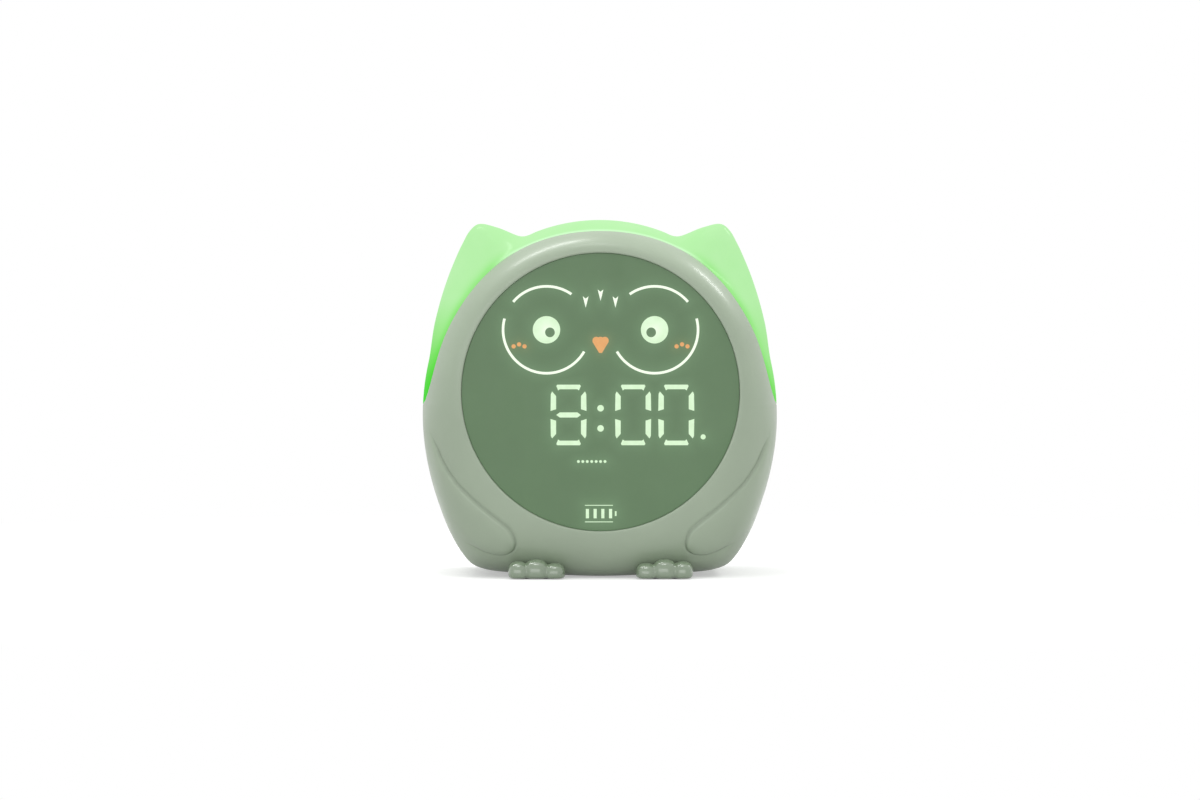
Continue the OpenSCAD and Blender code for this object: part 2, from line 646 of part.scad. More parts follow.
// ---- Chassis and night light ------------------------------------------------------------------
frame_posts = [330, 30, 205, 155];             // angles of the posts that press the display together
frame_post_ring = 43;
light_post_ring = 47;
post_r = 2.6;
light_board = [41, 53, 1.2];                   // inner radius, outer radius and thickness
light_led = [3.5, 0.8, 2.8];
function light_post_at(q) = round_at(q, light_post_ring, centre_z);
module mid_frame() {
    color("#D8DAD4") difference() {
        union() {
            intersection() {
                rod(mid_r, mid_y, mid_y + mid_t, 0, centre_z);
                block([130, 6, 110], [0, mid_y - 2, 62.5]);
            }
            for (q = frame_posts)
                screw_hole(round_at(q, frame_post_ring, display_z), post_r, board_y + board_t, mid_y + 0.5);
            for (q = light_posts) screw_hole(light_post_at(q), post_r, mid_y + mid_t - 0.5, light_y);
        }
        rod(15, mid_y - 1, mid_y + 4, 0, centre_z);   // way through for the leads
        both_sides() {
            for (p = pillars) rod(clear_r, mid_y - 1, mid_y + 4, p[0], p[1]);
            for (t = towers) rod(tower_r + 1, mid_y - 1, mid_y + 4, t[0], t[1]);
        }
        for (q = light_posts) screw_hole(light_post_at(q), board_screw_r + 0.05, mid_y + 1, light_y + 1);
    }
}
module frame_screws() {
    color("#B9BCBE") both_sides() for (p = pillars) screw_y(p, mid_y - 6, mid_y + mid_t);
}
module night_light_board() {
    color("#EDEFEA") difference() {
        rod(light_board[1], light_y, light_y + light_board[2], 0, centre_z);
        rod(light_board[0], light_y - 1, light_y + 3, 0, centre_z);
        block([130, 4, 100], [0, light_y - 1, centre_z + light_low - 50]);   // leaves an arch
        for (q = light_posts) screw_hole(light_post_at(q), board_screw_r + 0.25, light_y - 1, light_y + 3);
    }
}
module night_light_leds() {
    color("#C8F7A8") for (q = [-52 : 13 : 52])
        translate([light_ring * sin(q), light_y + light_board[2], centre_z + light_ring * cos(q)])
            rotate([0, q, 0]) block(light_led, [0, 0, 0]);
}
module night_light_screws() {
    color("#B9BCBE") for (q = light_posts)
        screw_y(light_post_at(q), mid_y + 1.2, light_y + light_board[2], board_screw_r, 1.9, 1);
}
module hood_screws() {
    color("#B9BCBE") both_sides() for (p = hood_posts) {
        pin_z(screw_r, [p[0], p[1], hood_seat], 8);
        pin_z(hood_head_r, [p[0], p[1], hood_seat - 1.5], 1.5);
    }
}
module case_screws() {
    color("#B9BCBE") both_sides() for (t = towers)
        screw_y(t, parting_y - 11, case_seat, screw_r, case_head_r, 1.8);
}

// ---- Battery ----------------------------------------------------------------------------------
cradle_back = mid_y + mid_t;
cradle_half = cell_len / 2 + 2.2;
cradle_h = 9;
cradle_z = 10.4;                               // middle of the cradle
terminal_r = 2.9;
strap_w = 12;
strap_t = 0.65;
module cell_rod(r, x0, len) { translate([x0, cell_y, cell_z]) rotate([0, 90, 0]) cylinder(r = r, h = len); }
module battery_cradle() {
    color("#3A3D40") difference() {
        block([2 * cradle_half, cell_y + 11 - cradle_back, cradle_h], [0, cradle_back, cradle_z]);
        cell_rod(cell_r + 0.15, -cell_len / 2 - 0.4, cell_len + 0.8);
        block([40, 10, 20], [0, cradle_back + 2, 14]);              // opening below the cell
        block([strap_w + 2.4, 40, 2], [0, -20, 5.4]);               // slot for the strap
    }
}
module battery_cell() {
    color("#3E7C8C") {
        cell_rod(cell_r, -cell_len / 2, cell_len - 0.8);
        cell_rod(terminal_r, -cell_len / 2, cell_len);
    }
}
module battery_strap() {
    color("#E9E4D0") intersection() {
        difference() {
            cell_rod(cell_r + 0.05 + strap_t, -strap_w / 2, strap_w);
            cell_rod(cell_r + 0.05, -strap_w / 2 - 1, strap_w + 2);
        }
        block([strap_w + 2, 40, 20], [0, cell_y - 20, 25]);
    }
}

// ---- Control panel, buttons and electronics ---------------------------------------------------
main_t = 1.4;                                  // thickness of the main circuit board
main_top = main_y + main_t;
main_w = 78;
main_h = 14.4;
main_screw_x = 36.5;
slider_slot = [6.4, 2.6];                      // openings in the panel: width and height
usb_slot = [9.6, 3.9];
cap_gap = 0.3;                                 // gap round a button
cap_flange = 0.9;
dish = 0.4;                                    // depth of the dished top of a button
plunger_r = 1.75;
switch_floor = 0.2;                            // switch left under the plunger's hole
plunger_room = 0.2;                            // room left under a pressed plunger
function button_x(k) = button_pitch * (k - 2);
module control_panel() {
    color("#8C9C86") difference() {
        union() {
            stadium(panel_half, panel_r, panel_y - panel_t, panel_y, panel_z);
            stadium(panel_half, panel_r + panel_lip, panel_y - panel_t - 2.2, panel_y - panel_t, panel_z);
        }
        stadium(panel_half, panel_r - 1.6, panel_y - panel_t - 4, panel_y - panel_t, panel_z);
        for (k = [0 : 4]) rod(button_r + cap_gap, panel_y - 6, panel_y + 1, button_x(k), panel_z);
        block([slider_slot[0], 8, slider_slot[1]], [slide_x, panel_y - 6, panel_z]);
        block([usb_slot[0], 8, usb_slot[1]], [usb_x, panel_y - 6, panel_z]);
    }
}
module cap(k, tint) {
    color(tint) {
        difference() {
            union() {
                rod(button_r, cap_back, rear_y + 0.5, button_x(k), panel_z);
                rod(button_r + cap_flange, cap_back, cap_back + 1, button_x(k), panel_z);
            }
            rod(button_r * 0.5, rear_y + 0.5 - dish, rear_y + 2, button_x(k), panel_z);
        }
    }
}
module light_button() { cap(0, "#BBF3AD"); }
module alarm_button() { cap(1, "#C9D3C2"); }
module clock_button() { cap(2, "#C9D3C2"); }
module plus_button() { cap(3, "#C9D3C2"); }
module minus_button() { cap(4, "#C9D3C2"); }
module plunger(k) {
    y0 = main_top + switch_floor + plunger_room + button_travel;
    color("#26282B") rod(plunger_r, y0, cap_back, button_x(k), panel_z);
}
module light_plunger() { plunger(0); }
module alarm_plunger() { plunger(1); }
module clock_plunger() { plunger(2); }
module plus_plunger() { plunger(3); }
module minus_plunger() { plunger(4); }
module main_circuit_board() {
    color("#2E5E3C") difference() {
        block([main_w, main_t, main_h], [0, main_y, panel_z]);
        for (x = [-main_screw_x, main_screw_x])
            screw_hole([x, panel_z + 5], board_screw_r + 0.25, main_y - 1, main_y + 3);
    }
}
module main_board_chips() {
    color("#26282B") {
        block([7, 1.4, 7], [-6, main_y - 1.4, panel_z]);
        block([5, 1, 4], [8, main_y - 1, panel_z + 2]);
        block([3, 1.6, 3], [-20, main_y - 1.6, panel_z - 2]);
        block([14, 2, 3.2], [16, main_y - 2, panel_z - 4.5]);
    }
}
module main_board_screws() {
    color("#B9BCBE") for (x = [-main_screw_x, main_screw_x])
        screw_y([x, panel_z + 5], main_y - 3, main_top, board_screw_r, 1.9, 1);
}
module switch_bodies() {
    color("#3A3D40") for (k = [0 : 4]) difference() {
        block([6, switch_h, 6], [button_x(k), main_top, panel_z]);
        rod(plunger_r + 0.3, main_top + switch_floor, main_top + switch_h + 1, button_x(k), panel_z);
    }
}
module slide_switch_body() {
    color("#B9BCBE") difference() {
        block([8.6, 3.4, 4.4], [slide_x, main_top, panel_z]);
        block([stem_w + 0.2 + slide_travel, 3, stem_w + 0.4], [slide_x, main_top + 1.2, panel_z]);
    }
}
stem_w = 1.5;
module power_slider() {
    x = slide_x - slide_travel / 2;
    color("#26282B") {
        block([stem_w, panel_y - main_top - 0.1, stem_w], [x, main_top + 1.3, panel_z]);
        block([3, 2.6, 2.2], [x, panel_y - 1.4, panel_z]);
    }
}
usb_half = 2.87;                               // half distance between the socket's round ends
usb_r = 1.6;
usb_wall = 0.32;
module usb_socket_shell() {
    color("#C4C7C9") difference() {
        stadium(usb_half, usb_r, main_top, panel_y - 0.6, panel_z, usb_x);
        stadium(usb_half, usb_r - usb_wall, main_top + 1, panel_y, panel_z, usb_x);
    }
}
module usb_socket_tongue() {
    color("#26282B") block([6.7, panel_y - main_top - 2.6, 0.7], [usb_x, main_top + 1, panel_z]);
}

// ---- Speaker ----------------------------------------------------------------------------------
basket_y = gasket_y - 1.6;                     // back of the rim
cone_y = gasket_y - 0.9;
basket_r = 10;
magnet_r = 6.8;
cone_t = 0.5;
CONE = [[0, -2.1], [3.5, -2.1], [7.3, -0.4], [9.3, -0.4]];   // radius and depth of the cone's front
module speaker_gasket() {
    color("#3A3D40") tube(gasket_r, gasket_r - 1.6, gasket_y - 0.8, gasket_y, 0, speaker_z);
}
module speaker_frame() {
    color("#8E9194") difference() {
        union() {
            rod(gasket_r, basket_y, gasket_y - 0.8, 0, speaker_z);
            rod(basket_r, gasket_y - 5.5, basket_y + 0.1, 0, speaker_z);
        }
        rod(basket_r - 0.6, gasket_y - 5, gasket_y, 0, speaker_z);
    }
}
module speaker_cone() {
    color("#26282B") translate([0, cone_y, speaker_z]) rotate([-90, 0, 0]) rotate_extrude()
        polygon(concat(CONE, [for (i = [len(CONE) - 1 : -1 : 0]) CONE[i] - [0, cone_t]]));
}
module speaker_magnet() {
    color("#C4C7C9") rod(magnet_r, gasket_y - 10, gasket_y - 5.5, 0, speaker_z);
}

// ---- Leads ------------------------------------------------------------------------------------
lead_r = 0.7;
BATTERY_LEAD = [[34.2, cell_y + 9, 17], [34.5, 24, 20], [31, 29, 34], [22, main_y - 1.3, 38.6]];
SPEAKER_LEAD = [[5, gasket_y - 6.5, 31.5], [6, 27, 34], [8, 25, 38], [12, main_y - 1.3, 39.2]];
LIGHT_LEAD = [[-38, light_y + 2, 82], [-42, 8, 78], [-26, 20, 56], [-26, main_y - 1.4, 50]];
RIBBON = [[board_y + board_t + 1.6, 59.5], [mid_y, 60.5], [-4, 66], [16, 66], [26, 54], [main_y, 50]];
ribbon_w = 12;
module battery_lead() { color("#B5342F") lead(bezier(BATTERY_LEAD, 14), lead_r); }
module speaker_lead() { color("#26282B") lead(bezier(SPEAKER_LEAD, 10), lead_r); }
module night_light_lead() { color("#E9E4D0") lead(bezier(LIGHT_LEAD, 16), lead_r); }
module display_ribbon() {
    color("#D9C58C") rotate([90, 0, 90]) translate([0, 0, -ribbon_w / 2]) linear_extrude(ribbon_w)
        polygon(concat(RIBBON, [for (i = [len(RIBBON) - 1 : -1 : 0]) RIBBON[i] + [0, 0.3]]));
}

// ---- Pieces -----------------------------------------------------------------------------------
front_shell();
rear_shell();
night_light_hood();
left_foot();
right_foot();
foot_pads();
rear_pads();
display_lens();
lit_windows();
orange_windows();
lens_adhesive_ring();
diffuser_film();
segment_light_frame();
display_circuit_board();
segment_leds();
display_chips();
display_screws();
mid_frame();
frame_screws();
night_light_board();
night_light_leds();
night_light_screws();
hood_screws();
case_screws();
battery_cradle();
battery_cell();
battery_strap();
control_panel();
main_circuit_board();
main_board_chips();
main_board_screws();
switch_bodies();
light_button();
alarm_button();
clock_button();
plus_button();
minus_button();
light_plunger();
alarm_plunger();
clock_plunger();
plus_plunger();
minus_plunger();
slide_switch_body();
power_slider();
usb_socket_shell();
usb_socket_tongue();
speaker_gasket();
speaker_frame();
speaker_cone();
speaker_magnet();
battery_lead();
speaker_lead();
night_light_lead();
display_ribbon();
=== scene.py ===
"""Finish of the owl-shaped alarm clock: smooth shells, lit display, hood, feet and rear controls.

Lengths are in millimetres until a mesh is made, which is in metres.
"""
import json
import math
from contextlib import contextmanager

import bmesh
import bpy
import numpy as np
from mathutils import Matrix, Vector
from mathutils.bvhtree import BVHTree
from mathutils.kdtree import KDTree

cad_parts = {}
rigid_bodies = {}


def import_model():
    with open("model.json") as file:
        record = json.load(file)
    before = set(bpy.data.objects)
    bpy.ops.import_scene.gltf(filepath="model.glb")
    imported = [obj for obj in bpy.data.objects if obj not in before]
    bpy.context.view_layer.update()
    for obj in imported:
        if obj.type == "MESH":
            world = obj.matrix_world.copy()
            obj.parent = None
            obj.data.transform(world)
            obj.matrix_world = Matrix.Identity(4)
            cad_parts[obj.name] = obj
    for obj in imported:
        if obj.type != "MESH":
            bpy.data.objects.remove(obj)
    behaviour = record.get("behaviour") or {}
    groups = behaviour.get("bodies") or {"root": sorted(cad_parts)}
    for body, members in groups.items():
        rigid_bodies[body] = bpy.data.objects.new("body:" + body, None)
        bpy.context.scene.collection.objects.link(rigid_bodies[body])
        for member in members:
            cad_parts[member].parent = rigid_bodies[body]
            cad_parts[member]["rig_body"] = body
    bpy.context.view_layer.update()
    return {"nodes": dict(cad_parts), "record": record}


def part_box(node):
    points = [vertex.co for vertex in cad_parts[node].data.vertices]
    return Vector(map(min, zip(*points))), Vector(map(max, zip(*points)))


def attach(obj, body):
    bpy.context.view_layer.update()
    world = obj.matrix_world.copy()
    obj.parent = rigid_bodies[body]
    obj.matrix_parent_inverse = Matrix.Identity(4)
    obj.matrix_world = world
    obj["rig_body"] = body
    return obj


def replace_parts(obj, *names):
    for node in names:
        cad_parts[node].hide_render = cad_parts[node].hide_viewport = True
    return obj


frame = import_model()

MM = 0.001
BODY = "clock_body"


# ---- Sizes, read from the frame ----
def corner(node, high, axis):
    """One side of a node's box, in millimetres."""
    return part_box(node)[1 if high else 0][axis] / MM


FRONT_Y = corner("front_shell", False, 1)
REAR_Y = corner("night_light_hood", True, 1)
HALF_W = 62.5
BODY_DEPTH = REAR_Y - FRONT_Y
CENTRE_Z = 60.0
RING_LOW, RING_HIGH = (corner("lens_adhesive_ring", high, 2) for high in (False, True))
RING_LEDGE = 1.15       # how far the adhesive ring reaches under the rim round the display
DISPLAY_Z = (RING_LOW + RING_HIGH) / 2
DISPLAY_R = (RING_HIGH - RING_LOW) / 2 - RING_LEDGE
LENS_Y = corner("display_lens", False, 1)
PARTING_Y = FRONT_Y + 31
WALL = 2.2
EAR_RISE = 13.0
EAR_PEAK, EAR_FRONT, EAR_BACK = 20.5, 12.2, 38.0       # where the ears are highest, and their reach each way
WING_RISE = 1.5
FOOT_SOLE = corner("right_foot", False, 2)
TOE_FRONT = corner("right_foot", False, 1)
PANEL_Y = corner("control_panel", True, 1)
PANEL_Z = CENTRE_Z - 14
SPEAKER_Z = (corner("speaker_frame", False, 2) + corner("speaker_frame", True, 2)) / 2

# Half outline of the body: angle from the top, radius as a share of the half width.
OUTLINE = [
    (0, 1.047), (30, 1.04), (60, 1.018), (75, 0.999), (90, 1), (106, 1.02), (120, 1.059),
    (132, 1.115), (137, 1.137), (141, 1.1456), (145, 1.1232), (152, 1.062), (165, 0.9795), (180, 0.952),
]
# Ear: angle from the top, share of EAR_RISE.
EAR = [
    (20, 0), (25, 0.06), (30, 0.6), (33.5, 0.94), (36.5, 0.95), (40, 0.82), (46, 0.595), (54, 0.35),
    (63, 0.15), (76, 0),
]
# Front edge of the hood: angle from the top, share of the way round the front roll.
SEAM = [
    (0, 0.48), (30, 0.535), (50, 0.515), (60, 0.52), (73, 0.575), (80, 0.62), (84, 0.67),
    (87, 0.745), (88.7, 0.82), (90, 1.06),
]
# Depth of the front roll, and squareness of the back, by angle from the top.
ROLL = [(0, 26), (95, 26), (140, 19), (180, 11.5)]
SQUARE = [(0, 2.8), (60, 3), (90, 4), (125, 7), (180, 8)]
# Outline of the wing: angle from the top, share of the way round the front roll.
WING = [
    (94, 0.72), (100, 0.56), (109, 0.468), (118, 0.37), (124.5, 0.295), (132, 0.235), (139, 0.207),
    (143.5, 0.222), (147, 0.29), (148.6, 0.38), (148, 0.465), (145.5, 0.515), (142, 0.535), (138, 0.58),
    (133, 0.70), (126, 0.92), (112, 1.25), (94, 1.45),
]
SEAM_SLIT = 0.0015      # share of the roll left open along the curved seam
EDGE_SLIT = 0.1         # millimetres left open beside the straight seam
LIP = 0.35              # radius of the moulded edges
RIM_LIP = 0.65          # radius of the edge round the display


# ---- Body surface ----
def curve(knots, x):
    """Smooth curve through the knots, level at both ends."""
    k = np.asarray(knots, float)
    kx, ky = k[:, 0], k[:, 1]
    slope = np.zeros(len(k))
    slope[1:-1] = (ky[2:] - ky[:-2]) / (kx[2:] - kx[:-2])
    x = np.clip(np.asarray(x, float), kx[0], kx[-1])
    i = np.clip(np.searchsorted(kx, x) - 1, 0, len(k) - 2)
    h = kx[i + 1] - kx[i]
    t = (x - kx[i]) / h
    return (
        (2 * t**3 - 3 * t**2 + 1) * ky[i] + (t**3 - 2 * t**2 + t) * h * slope[i]
        + (3 * t**2 - 2 * t**3) * ky[i + 1] + (t**3 - t**2) * h * slope[i + 1]
    )


def eased(x, start, end):
    """0 at start and 1 at end, with a soft change between them."""
    c = np.clip((x - start) / (end - start), 0, 1)
    return c * c * (3 - 2 * c)


def folded(a):
    """The same angle on either side of the top."""
    m = np.abs(a) % 360
    return np.where(m > 180, 360 - m, m)


def sind(a):
    """Sine of an angle in degrees."""
    return np.sin(np.radians(a))


def cosd(a):
    """Cosine of an angle in degrees."""
    return np.cos(np.radians(a))


def rim_r(a):
    """Distance from the body's centre to the rim of the display, which is set off from that centre."""
    off = DISPLAY_Z - CENTRE_Z
    return off * cosd(a) + np.sqrt(DISPLAY_R**2 - (off * sind(a)) ** 2)


def full_r(a):
    """Radius of the outline, without ears."""
    return HALF_W * curve(OUTLINE, folded(a))


def roll(a):
    """Depth of the front roll."""
    return curve(ROLL, folded(a))


def round_share(n, b):
    """Radius of a rounded square of power n, at b degrees."""
    return (np.abs(cosd(b)) ** n + np.abs(sind(b)) ** n) ** (-1 / n)


def body_y(a, s):
    """Depth of the skin: a quarter turn over the front roll, then a squarer one to the back."""
    n, b = curve(SQUARE, folded(a)), 90 * (s - 1)
    front = FRONT_Y + roll(a) * (1 - cosd(90 * s))
    back = FRONT_Y + roll(a) + (BODY_DEPTH - roll(a)) * round_share(n, b) * sind(b)
    return np.where(s <= 1, front, back)


def plain_r(a, s):
    """Radius of the skin, without ears."""
    n, b = curve(SQUARE, folded(a)), 90 * (s - 1)
    front = rim_r(a) + (full_r(a) - rim_r(a)) * sind(90 * s)
    return np.where(s <= 1, front, full_r(a) * round_share(n, b) * cosd(b))


def ear_r(a, s):
    """What the ears add to the radius."""
    t = body_y(a, s) - FRONT_Y - EAR_PEAK
    share = np.where(t < 0, eased(t, -EAR_FRONT, 0), eased(t, EAR_BACK, 0))
    return np.where(s < 0.3, 0, EAR_RISE * curve(EAR, folded(a)) * share)


def skin(a, s):
    """Point of the skin by angle from the top and by s: 0 display rim, 1 widest, 2 middle of the back."""
    a, s = np.broadcast_arrays(np.asarray(a, float), np.asarray(s, float))
    r = plain_r(a, s) + ear_r(a, s)
    return np.stack([r * sind(a), body_y(a, s), CENTRE_Z + r * cosd(a)], -1)


def outward(a, s):
    """Direction out of the skin."""
    a, s = np.broadcast_arrays(np.asarray(a, float), np.asarray(s, float))
    e = 0.004
    along = skin(a, np.minimum(1.999, s + e)) - skin(a, np.maximum(0, s - e))
    across = skin(a + 0.5, s) - skin(a - 0.5, s)
    n = np.cross(across, along)
    n /= np.maximum(np.linalg.norm(n, axis=-1, keepdims=True), 1e-9)
    n[s > 1.995] = (0, 1, 0)
    return n


def skin_off(a, s, d):
    """The skin pushed outwards by d."""
    return skin(a, s) + np.asarray(d)[..., None] * outward(a, s)


def seam_s(a):
    """Where the hood starts."""
    return curve(SEAM, folded(a))


def parting_s(a):
    """Where the rear shell starts."""
    n = curve(SQUARE, folded(a))
    t = (PARTING_Y - FRONT_Y - roll(a)) / (BODY_DEPTH - roll(a))
    return 1 + np.degrees(np.arctan2(t, (1 - t**n) ** (1 / n))) / 90


def front_end(a):
    """Where the front shell ends."""
    return np.where(folded(a) <= 90, np.minimum(seam_s(a), parting_s(a)), parting_s(a))


# ---- Wings ----
WING_GRID = (np.arange(86, 160, 0.1), np.arange(0, 1.7, 0.004))    # angles and shares worked out
WING_SCALE = (1.12, 33.0)       # millimetres along the skin for one degree, and for one unit of s
GROOVE = 0.5                    # depth of the crease round the wing
CREASE_BLUR, WING_BLUR, FADED_BLUR = 0.3, 1.8, 4.5     # softness of the crease, wing and faded part
FADE_ANGLES, FADE_SHARES = (97, 106), (0.66, 0.5)       # where the wing turns from faded to crisp


def through(points):
    """Smooth closed curve through the points."""
    n = 12
    p = np.asarray(points, float)
    before, after, last = np.roll(p, 1, 0), np.roll(p, -1, 0), np.roll(p, -2, 0)
    t = np.arange(n)[:, None, None] / n
    spline = (2 * p + (after - before) * t + (2 * before - 5 * p + 4 * after - last) * t**2
              + (3 * p - before - 3 * after + last) * t**3) / 2
    return spline.transpose(1, 0, 2).reshape(-1, 2)


def blurred(field, mm):
    """Field on the wing's grid, softened over about mm millimetres."""
    for axis in (0, 1):
        step = (WING_GRID[axis][1] - WING_GRID[axis][0]) * WING_SCALE[axis]
        reach = int(3 * mm / step) + 1
        weights = np.exp(-0.5 * (np.arange(-reach, reach + 1) * step / mm) ** 2)
        weights /= weights.sum()

        def soften(row):
            return np.convolve(np.pad(row, reach, mode="edge"), weights, "valid")

        field = np.apply_along_axis(soften, axis, field)
    return field


def wing_field():
    """Height of the wing above the skin, a cushion that fades at both ends, and the crease round it, which
    also sets the painted shade in that crease.
    """
    angles, shares = np.meshgrid(*WING_GRID, indexing="ij")
    loop = through(WING)
    inside = np.zeros(angles.shape, bool)
    for (a0, s0), (a1, s1) in zip(loop, np.roll(loop, -1, 0)):
        if s0 != s1:
            crossed = (s0 > shares) != (s1 > shares)
            inside ^= crossed & (angles < a0 + (a1 - a0) * (shares - s0) / (s1 - s0))
    inside = inside.astype(float)
    edge = blurred(inside, CREASE_BLUR)
    crisp = eased(angles, *FADE_ANGLES) * eased(shares, *FADE_SHARES)
    cushion = edge * blurred(inside, WING_BLUR)
    height = crisp * cushion + (1 - crisp) * blurred(inside, FADED_BLUR)
    crease = crisp * 4 * edge * (1 - edge)
    return WING_RISE * height * eased(shares, 1, 0.5) - GROOVE * crease, crease


# The second field sets the painted shade that darkens the crease round each wing.
WING_HEIGHT, CREASE_PAINTED_SHADE = wing_field()


def wing_at(field, a, s):
    """Value of one of the wing's fields at places on the skin."""
    places = []
    for x, grid in zip(np.broadcast_arrays(folded(a), np.asarray(s, float)), WING_GRID):
        steps = np.clip((x - grid[0]) / (grid[1] - grid[0]), 0, len(grid) - 1.001)
        places.append((steps.astype(int), steps % 1))
    (i, u), (j, v) = places
    low = field[i, j] * (1 - u) + field[i + 1, j] * u
    high = field[i, j + 1] * (1 - u) + field[i + 1, j + 1] * u
    return low * (1 - v) + high * v


# ---- Mesh helpers ----
def add_mesh(name, points, faces, body=BODY):
    """New object from points in millimetres, riding on a body if one is given."""
    mesh = bpy.data.meshes.new(name)
    mesh.from_pydata((np.asarray(points) * MM).tolist(), [], faces)
    mesh.validate()
    mesh.shade_smooth()
    obj = bpy.data.objects.new(name, mesh)
    bpy.context.scene.collection.objects.link(obj)
    if body:
        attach(obj, body)
    return obj


def loop_faces(cols, rows, wrap_cols, wrap_rows=True):
    """Quads between neighbouring columns of a grid numbered column by column."""
    faces = []
    for c in range(cols if wrap_cols else cols - 1):
        p, q = c * rows, ((c + 1) % cols) * rows
        for r in range(rows if wrap_rows else rows - 1):
            t = (r + 1) % rows
            faces.append((p + r, q + r, q + t, p + t))
    return faces


@contextmanager
def editing(obj):
    """Opens an object's mesh for changes, and turns all normals outwards at the end."""
    bm = bmesh.new()
    bm.from_mesh(obj.data)
    yield bm
    bmesh.ops.recalc_face_normals(bm, faces=bm.faces)
    bm.to_mesh(obj.data)
    bm.free()


def clean(obj, merge=1e-7):
    """Joins coincident points and drops empty faces."""
    with editing(obj) as bm:
        bmesh.ops.remove_doubles(bm, verts=bm.verts, dist=merge)
        bmesh.ops.dissolve_degenerate(bm, edges=bm.edges, dist=merge)
    obj.data.shade_smooth()
    return obj


def joined(parts, name):
    """One object from several."""
    bpy.ops.object.select_all(action="DESELECT")
    for part in parts:
        part.select_set(True)
    bpy.context.view_layer.objects.active = parts[0]
    if len(parts) > 1:
        bpy.ops.object.join()
    parts[0].name = name
    return parts[0]


def apply_modifiers(obj):
    """Bakes the modifiers into the mesh."""
    bpy.context.view_layer.update()
    graph = bpy.context.evaluated_depsgraph_get()
    mesh = bpy.data.meshes.new_from_object(obj.evaluated_get(graph))
    obj.modifiers.clear()
    obj.data = mesh
    return obj


def sharp_by_angle(obj, degrees=35):
    """Smooth shading that breaks where faces meet at more than the angle."""
    obj.data.shade_smooth()
    obj.data.set_sharp_from_angle(angle=math.radians(degrees))
    return obj


def round_edges(obj, width, segments):
    """Bevels the edges where faces meet at more than 30 degrees."""
    edge = obj.modifiers.new("edge", "BEVEL")
    edge.width = width * MM
    edge.segments = segments
    edge.limit_method = "ANGLE"
    edge.angle_limit = math.radians(30)
    return sharp_by_angle(apply_modifiers(obj), 40)


def circle_outline(r, x=0.0, z=0.0, sides=40):
    """Points round a circle."""
    return [(x + r * cosd(t), z + r * sind(t)) for t in np.arange(sides) * 360 / sides]


def lathe(name, profile, x, z, body=BODY, sides=96):
    """Turned solid about a line along Y: profile is (radius, y) from front to back, closed on the axis."""
    pts = [(x + r * u, y, z + r * v) for u, v in circle_outline(1, sides=sides) for r, y in profile]
    obj = add_mesh(name, pts, loop_faces(sides, len(profile), True, False), body)
    return sharp_by_angle(clean(obj, 1e-6), 50)


def prism(name, outline, y0, y1):
    """Closed prism along Y from an outline of (x, z) points."""
    n = len(outline)
    pts = [(x, y, z) for y in (y0, y1) for x, z in outline]
    faces = [(i, (i + 1) % n, n + (i + 1) % n, n + i) for i in range(n)]
    faces += [tuple(range(n))[::-1], tuple(range(n, 2 * n))]
    return clean(add_mesh(name, pts, faces, None))


def set_values(obj, name, values):
    """Stores one number for each vertex, for a material to read."""
    attribute = obj.data.attributes.new(name, "FLOAT", "POINT")
    attribute.data.foreach_set("value", np.asarray(values, np.float32).ravel())


# ---- Shells ----
OUTER_ROWS, INNER_ROWS = 130, 14     # points of a column on the outer and the inner skin


def speed(a, s):
    """Millimetres along the skin for one unit of s."""
    e = 0.003
    low, high = max(0.0, s - e), min(1.999, s + e)
    return float(np.linalg.norm(skin(a, high) - skin(a, low)) / (high - low))


def outer_rows(a, s0, s1, lip=LIP, ends_on_back=False):
    """The shares at which a column's outer skin has its points, between its two rounded edges."""
    start = s0 + lip / speed(a, s0)
    return np.linspace(start, s1 if ends_on_back else s1 - LIP / speed(a, s1), OUTER_ROWS)


def beside_seam(a, s):
    """Angle drawn towards the top or the bottom, so that a column stays clear of the straight seam."""
    room = np.degrees(np.arcsin(np.clip((EDGE_SLIT + LIP) / np.maximum(plain_r(90, s), 0.1), 0, 0.9)))
    kept = 1 - room / 90
    return a * kept if abs(a) <= 90 else math.copysign(1, a) * (180 - (180 - abs(a)) * kept)


def shell_column(a, s0, s1, lip=LIP, wing=False, ends_on_back=False, sink=0.0):
    """Closed loop of points at one angle: outer skin, rounded edge, inner skin, rounded edge."""
    turn = np.linspace(0, 90, 6)[1:]
    outer_s = outer_rows(a, s0, s1, lip, ends_on_back)
    lip0, lip1 = outer_s[0] - s0, s1 - outer_s[-1]
    rise = (wing_at(WING_HEIGHT, a, outer_s) if wing else np.zeros(OUTER_ROWS)) - sink
    s, d = [outer_s], [rise]
    if not ends_on_back:
        s.append(s1 - lip1 * (1 - sind(turn)))
        d.append(rise[-1] - LIP * (1 - cosd(turn)))
    s.append(np.linspace(s1, s0, INNER_ROWS))
    d.append(np.full(INNER_ROWS, -WALL))
    s.append(s0 + lip0 * (1 - sind(turn[::-1])))
    d.append(-sink - lip * (1 - cosd(turn[::-1])))
    s = np.clip(np.concatenate(s), 0, 2)
    return skin_off(beside_seam(a, s) if ends_on_back else a, s, np.concatenate(d))


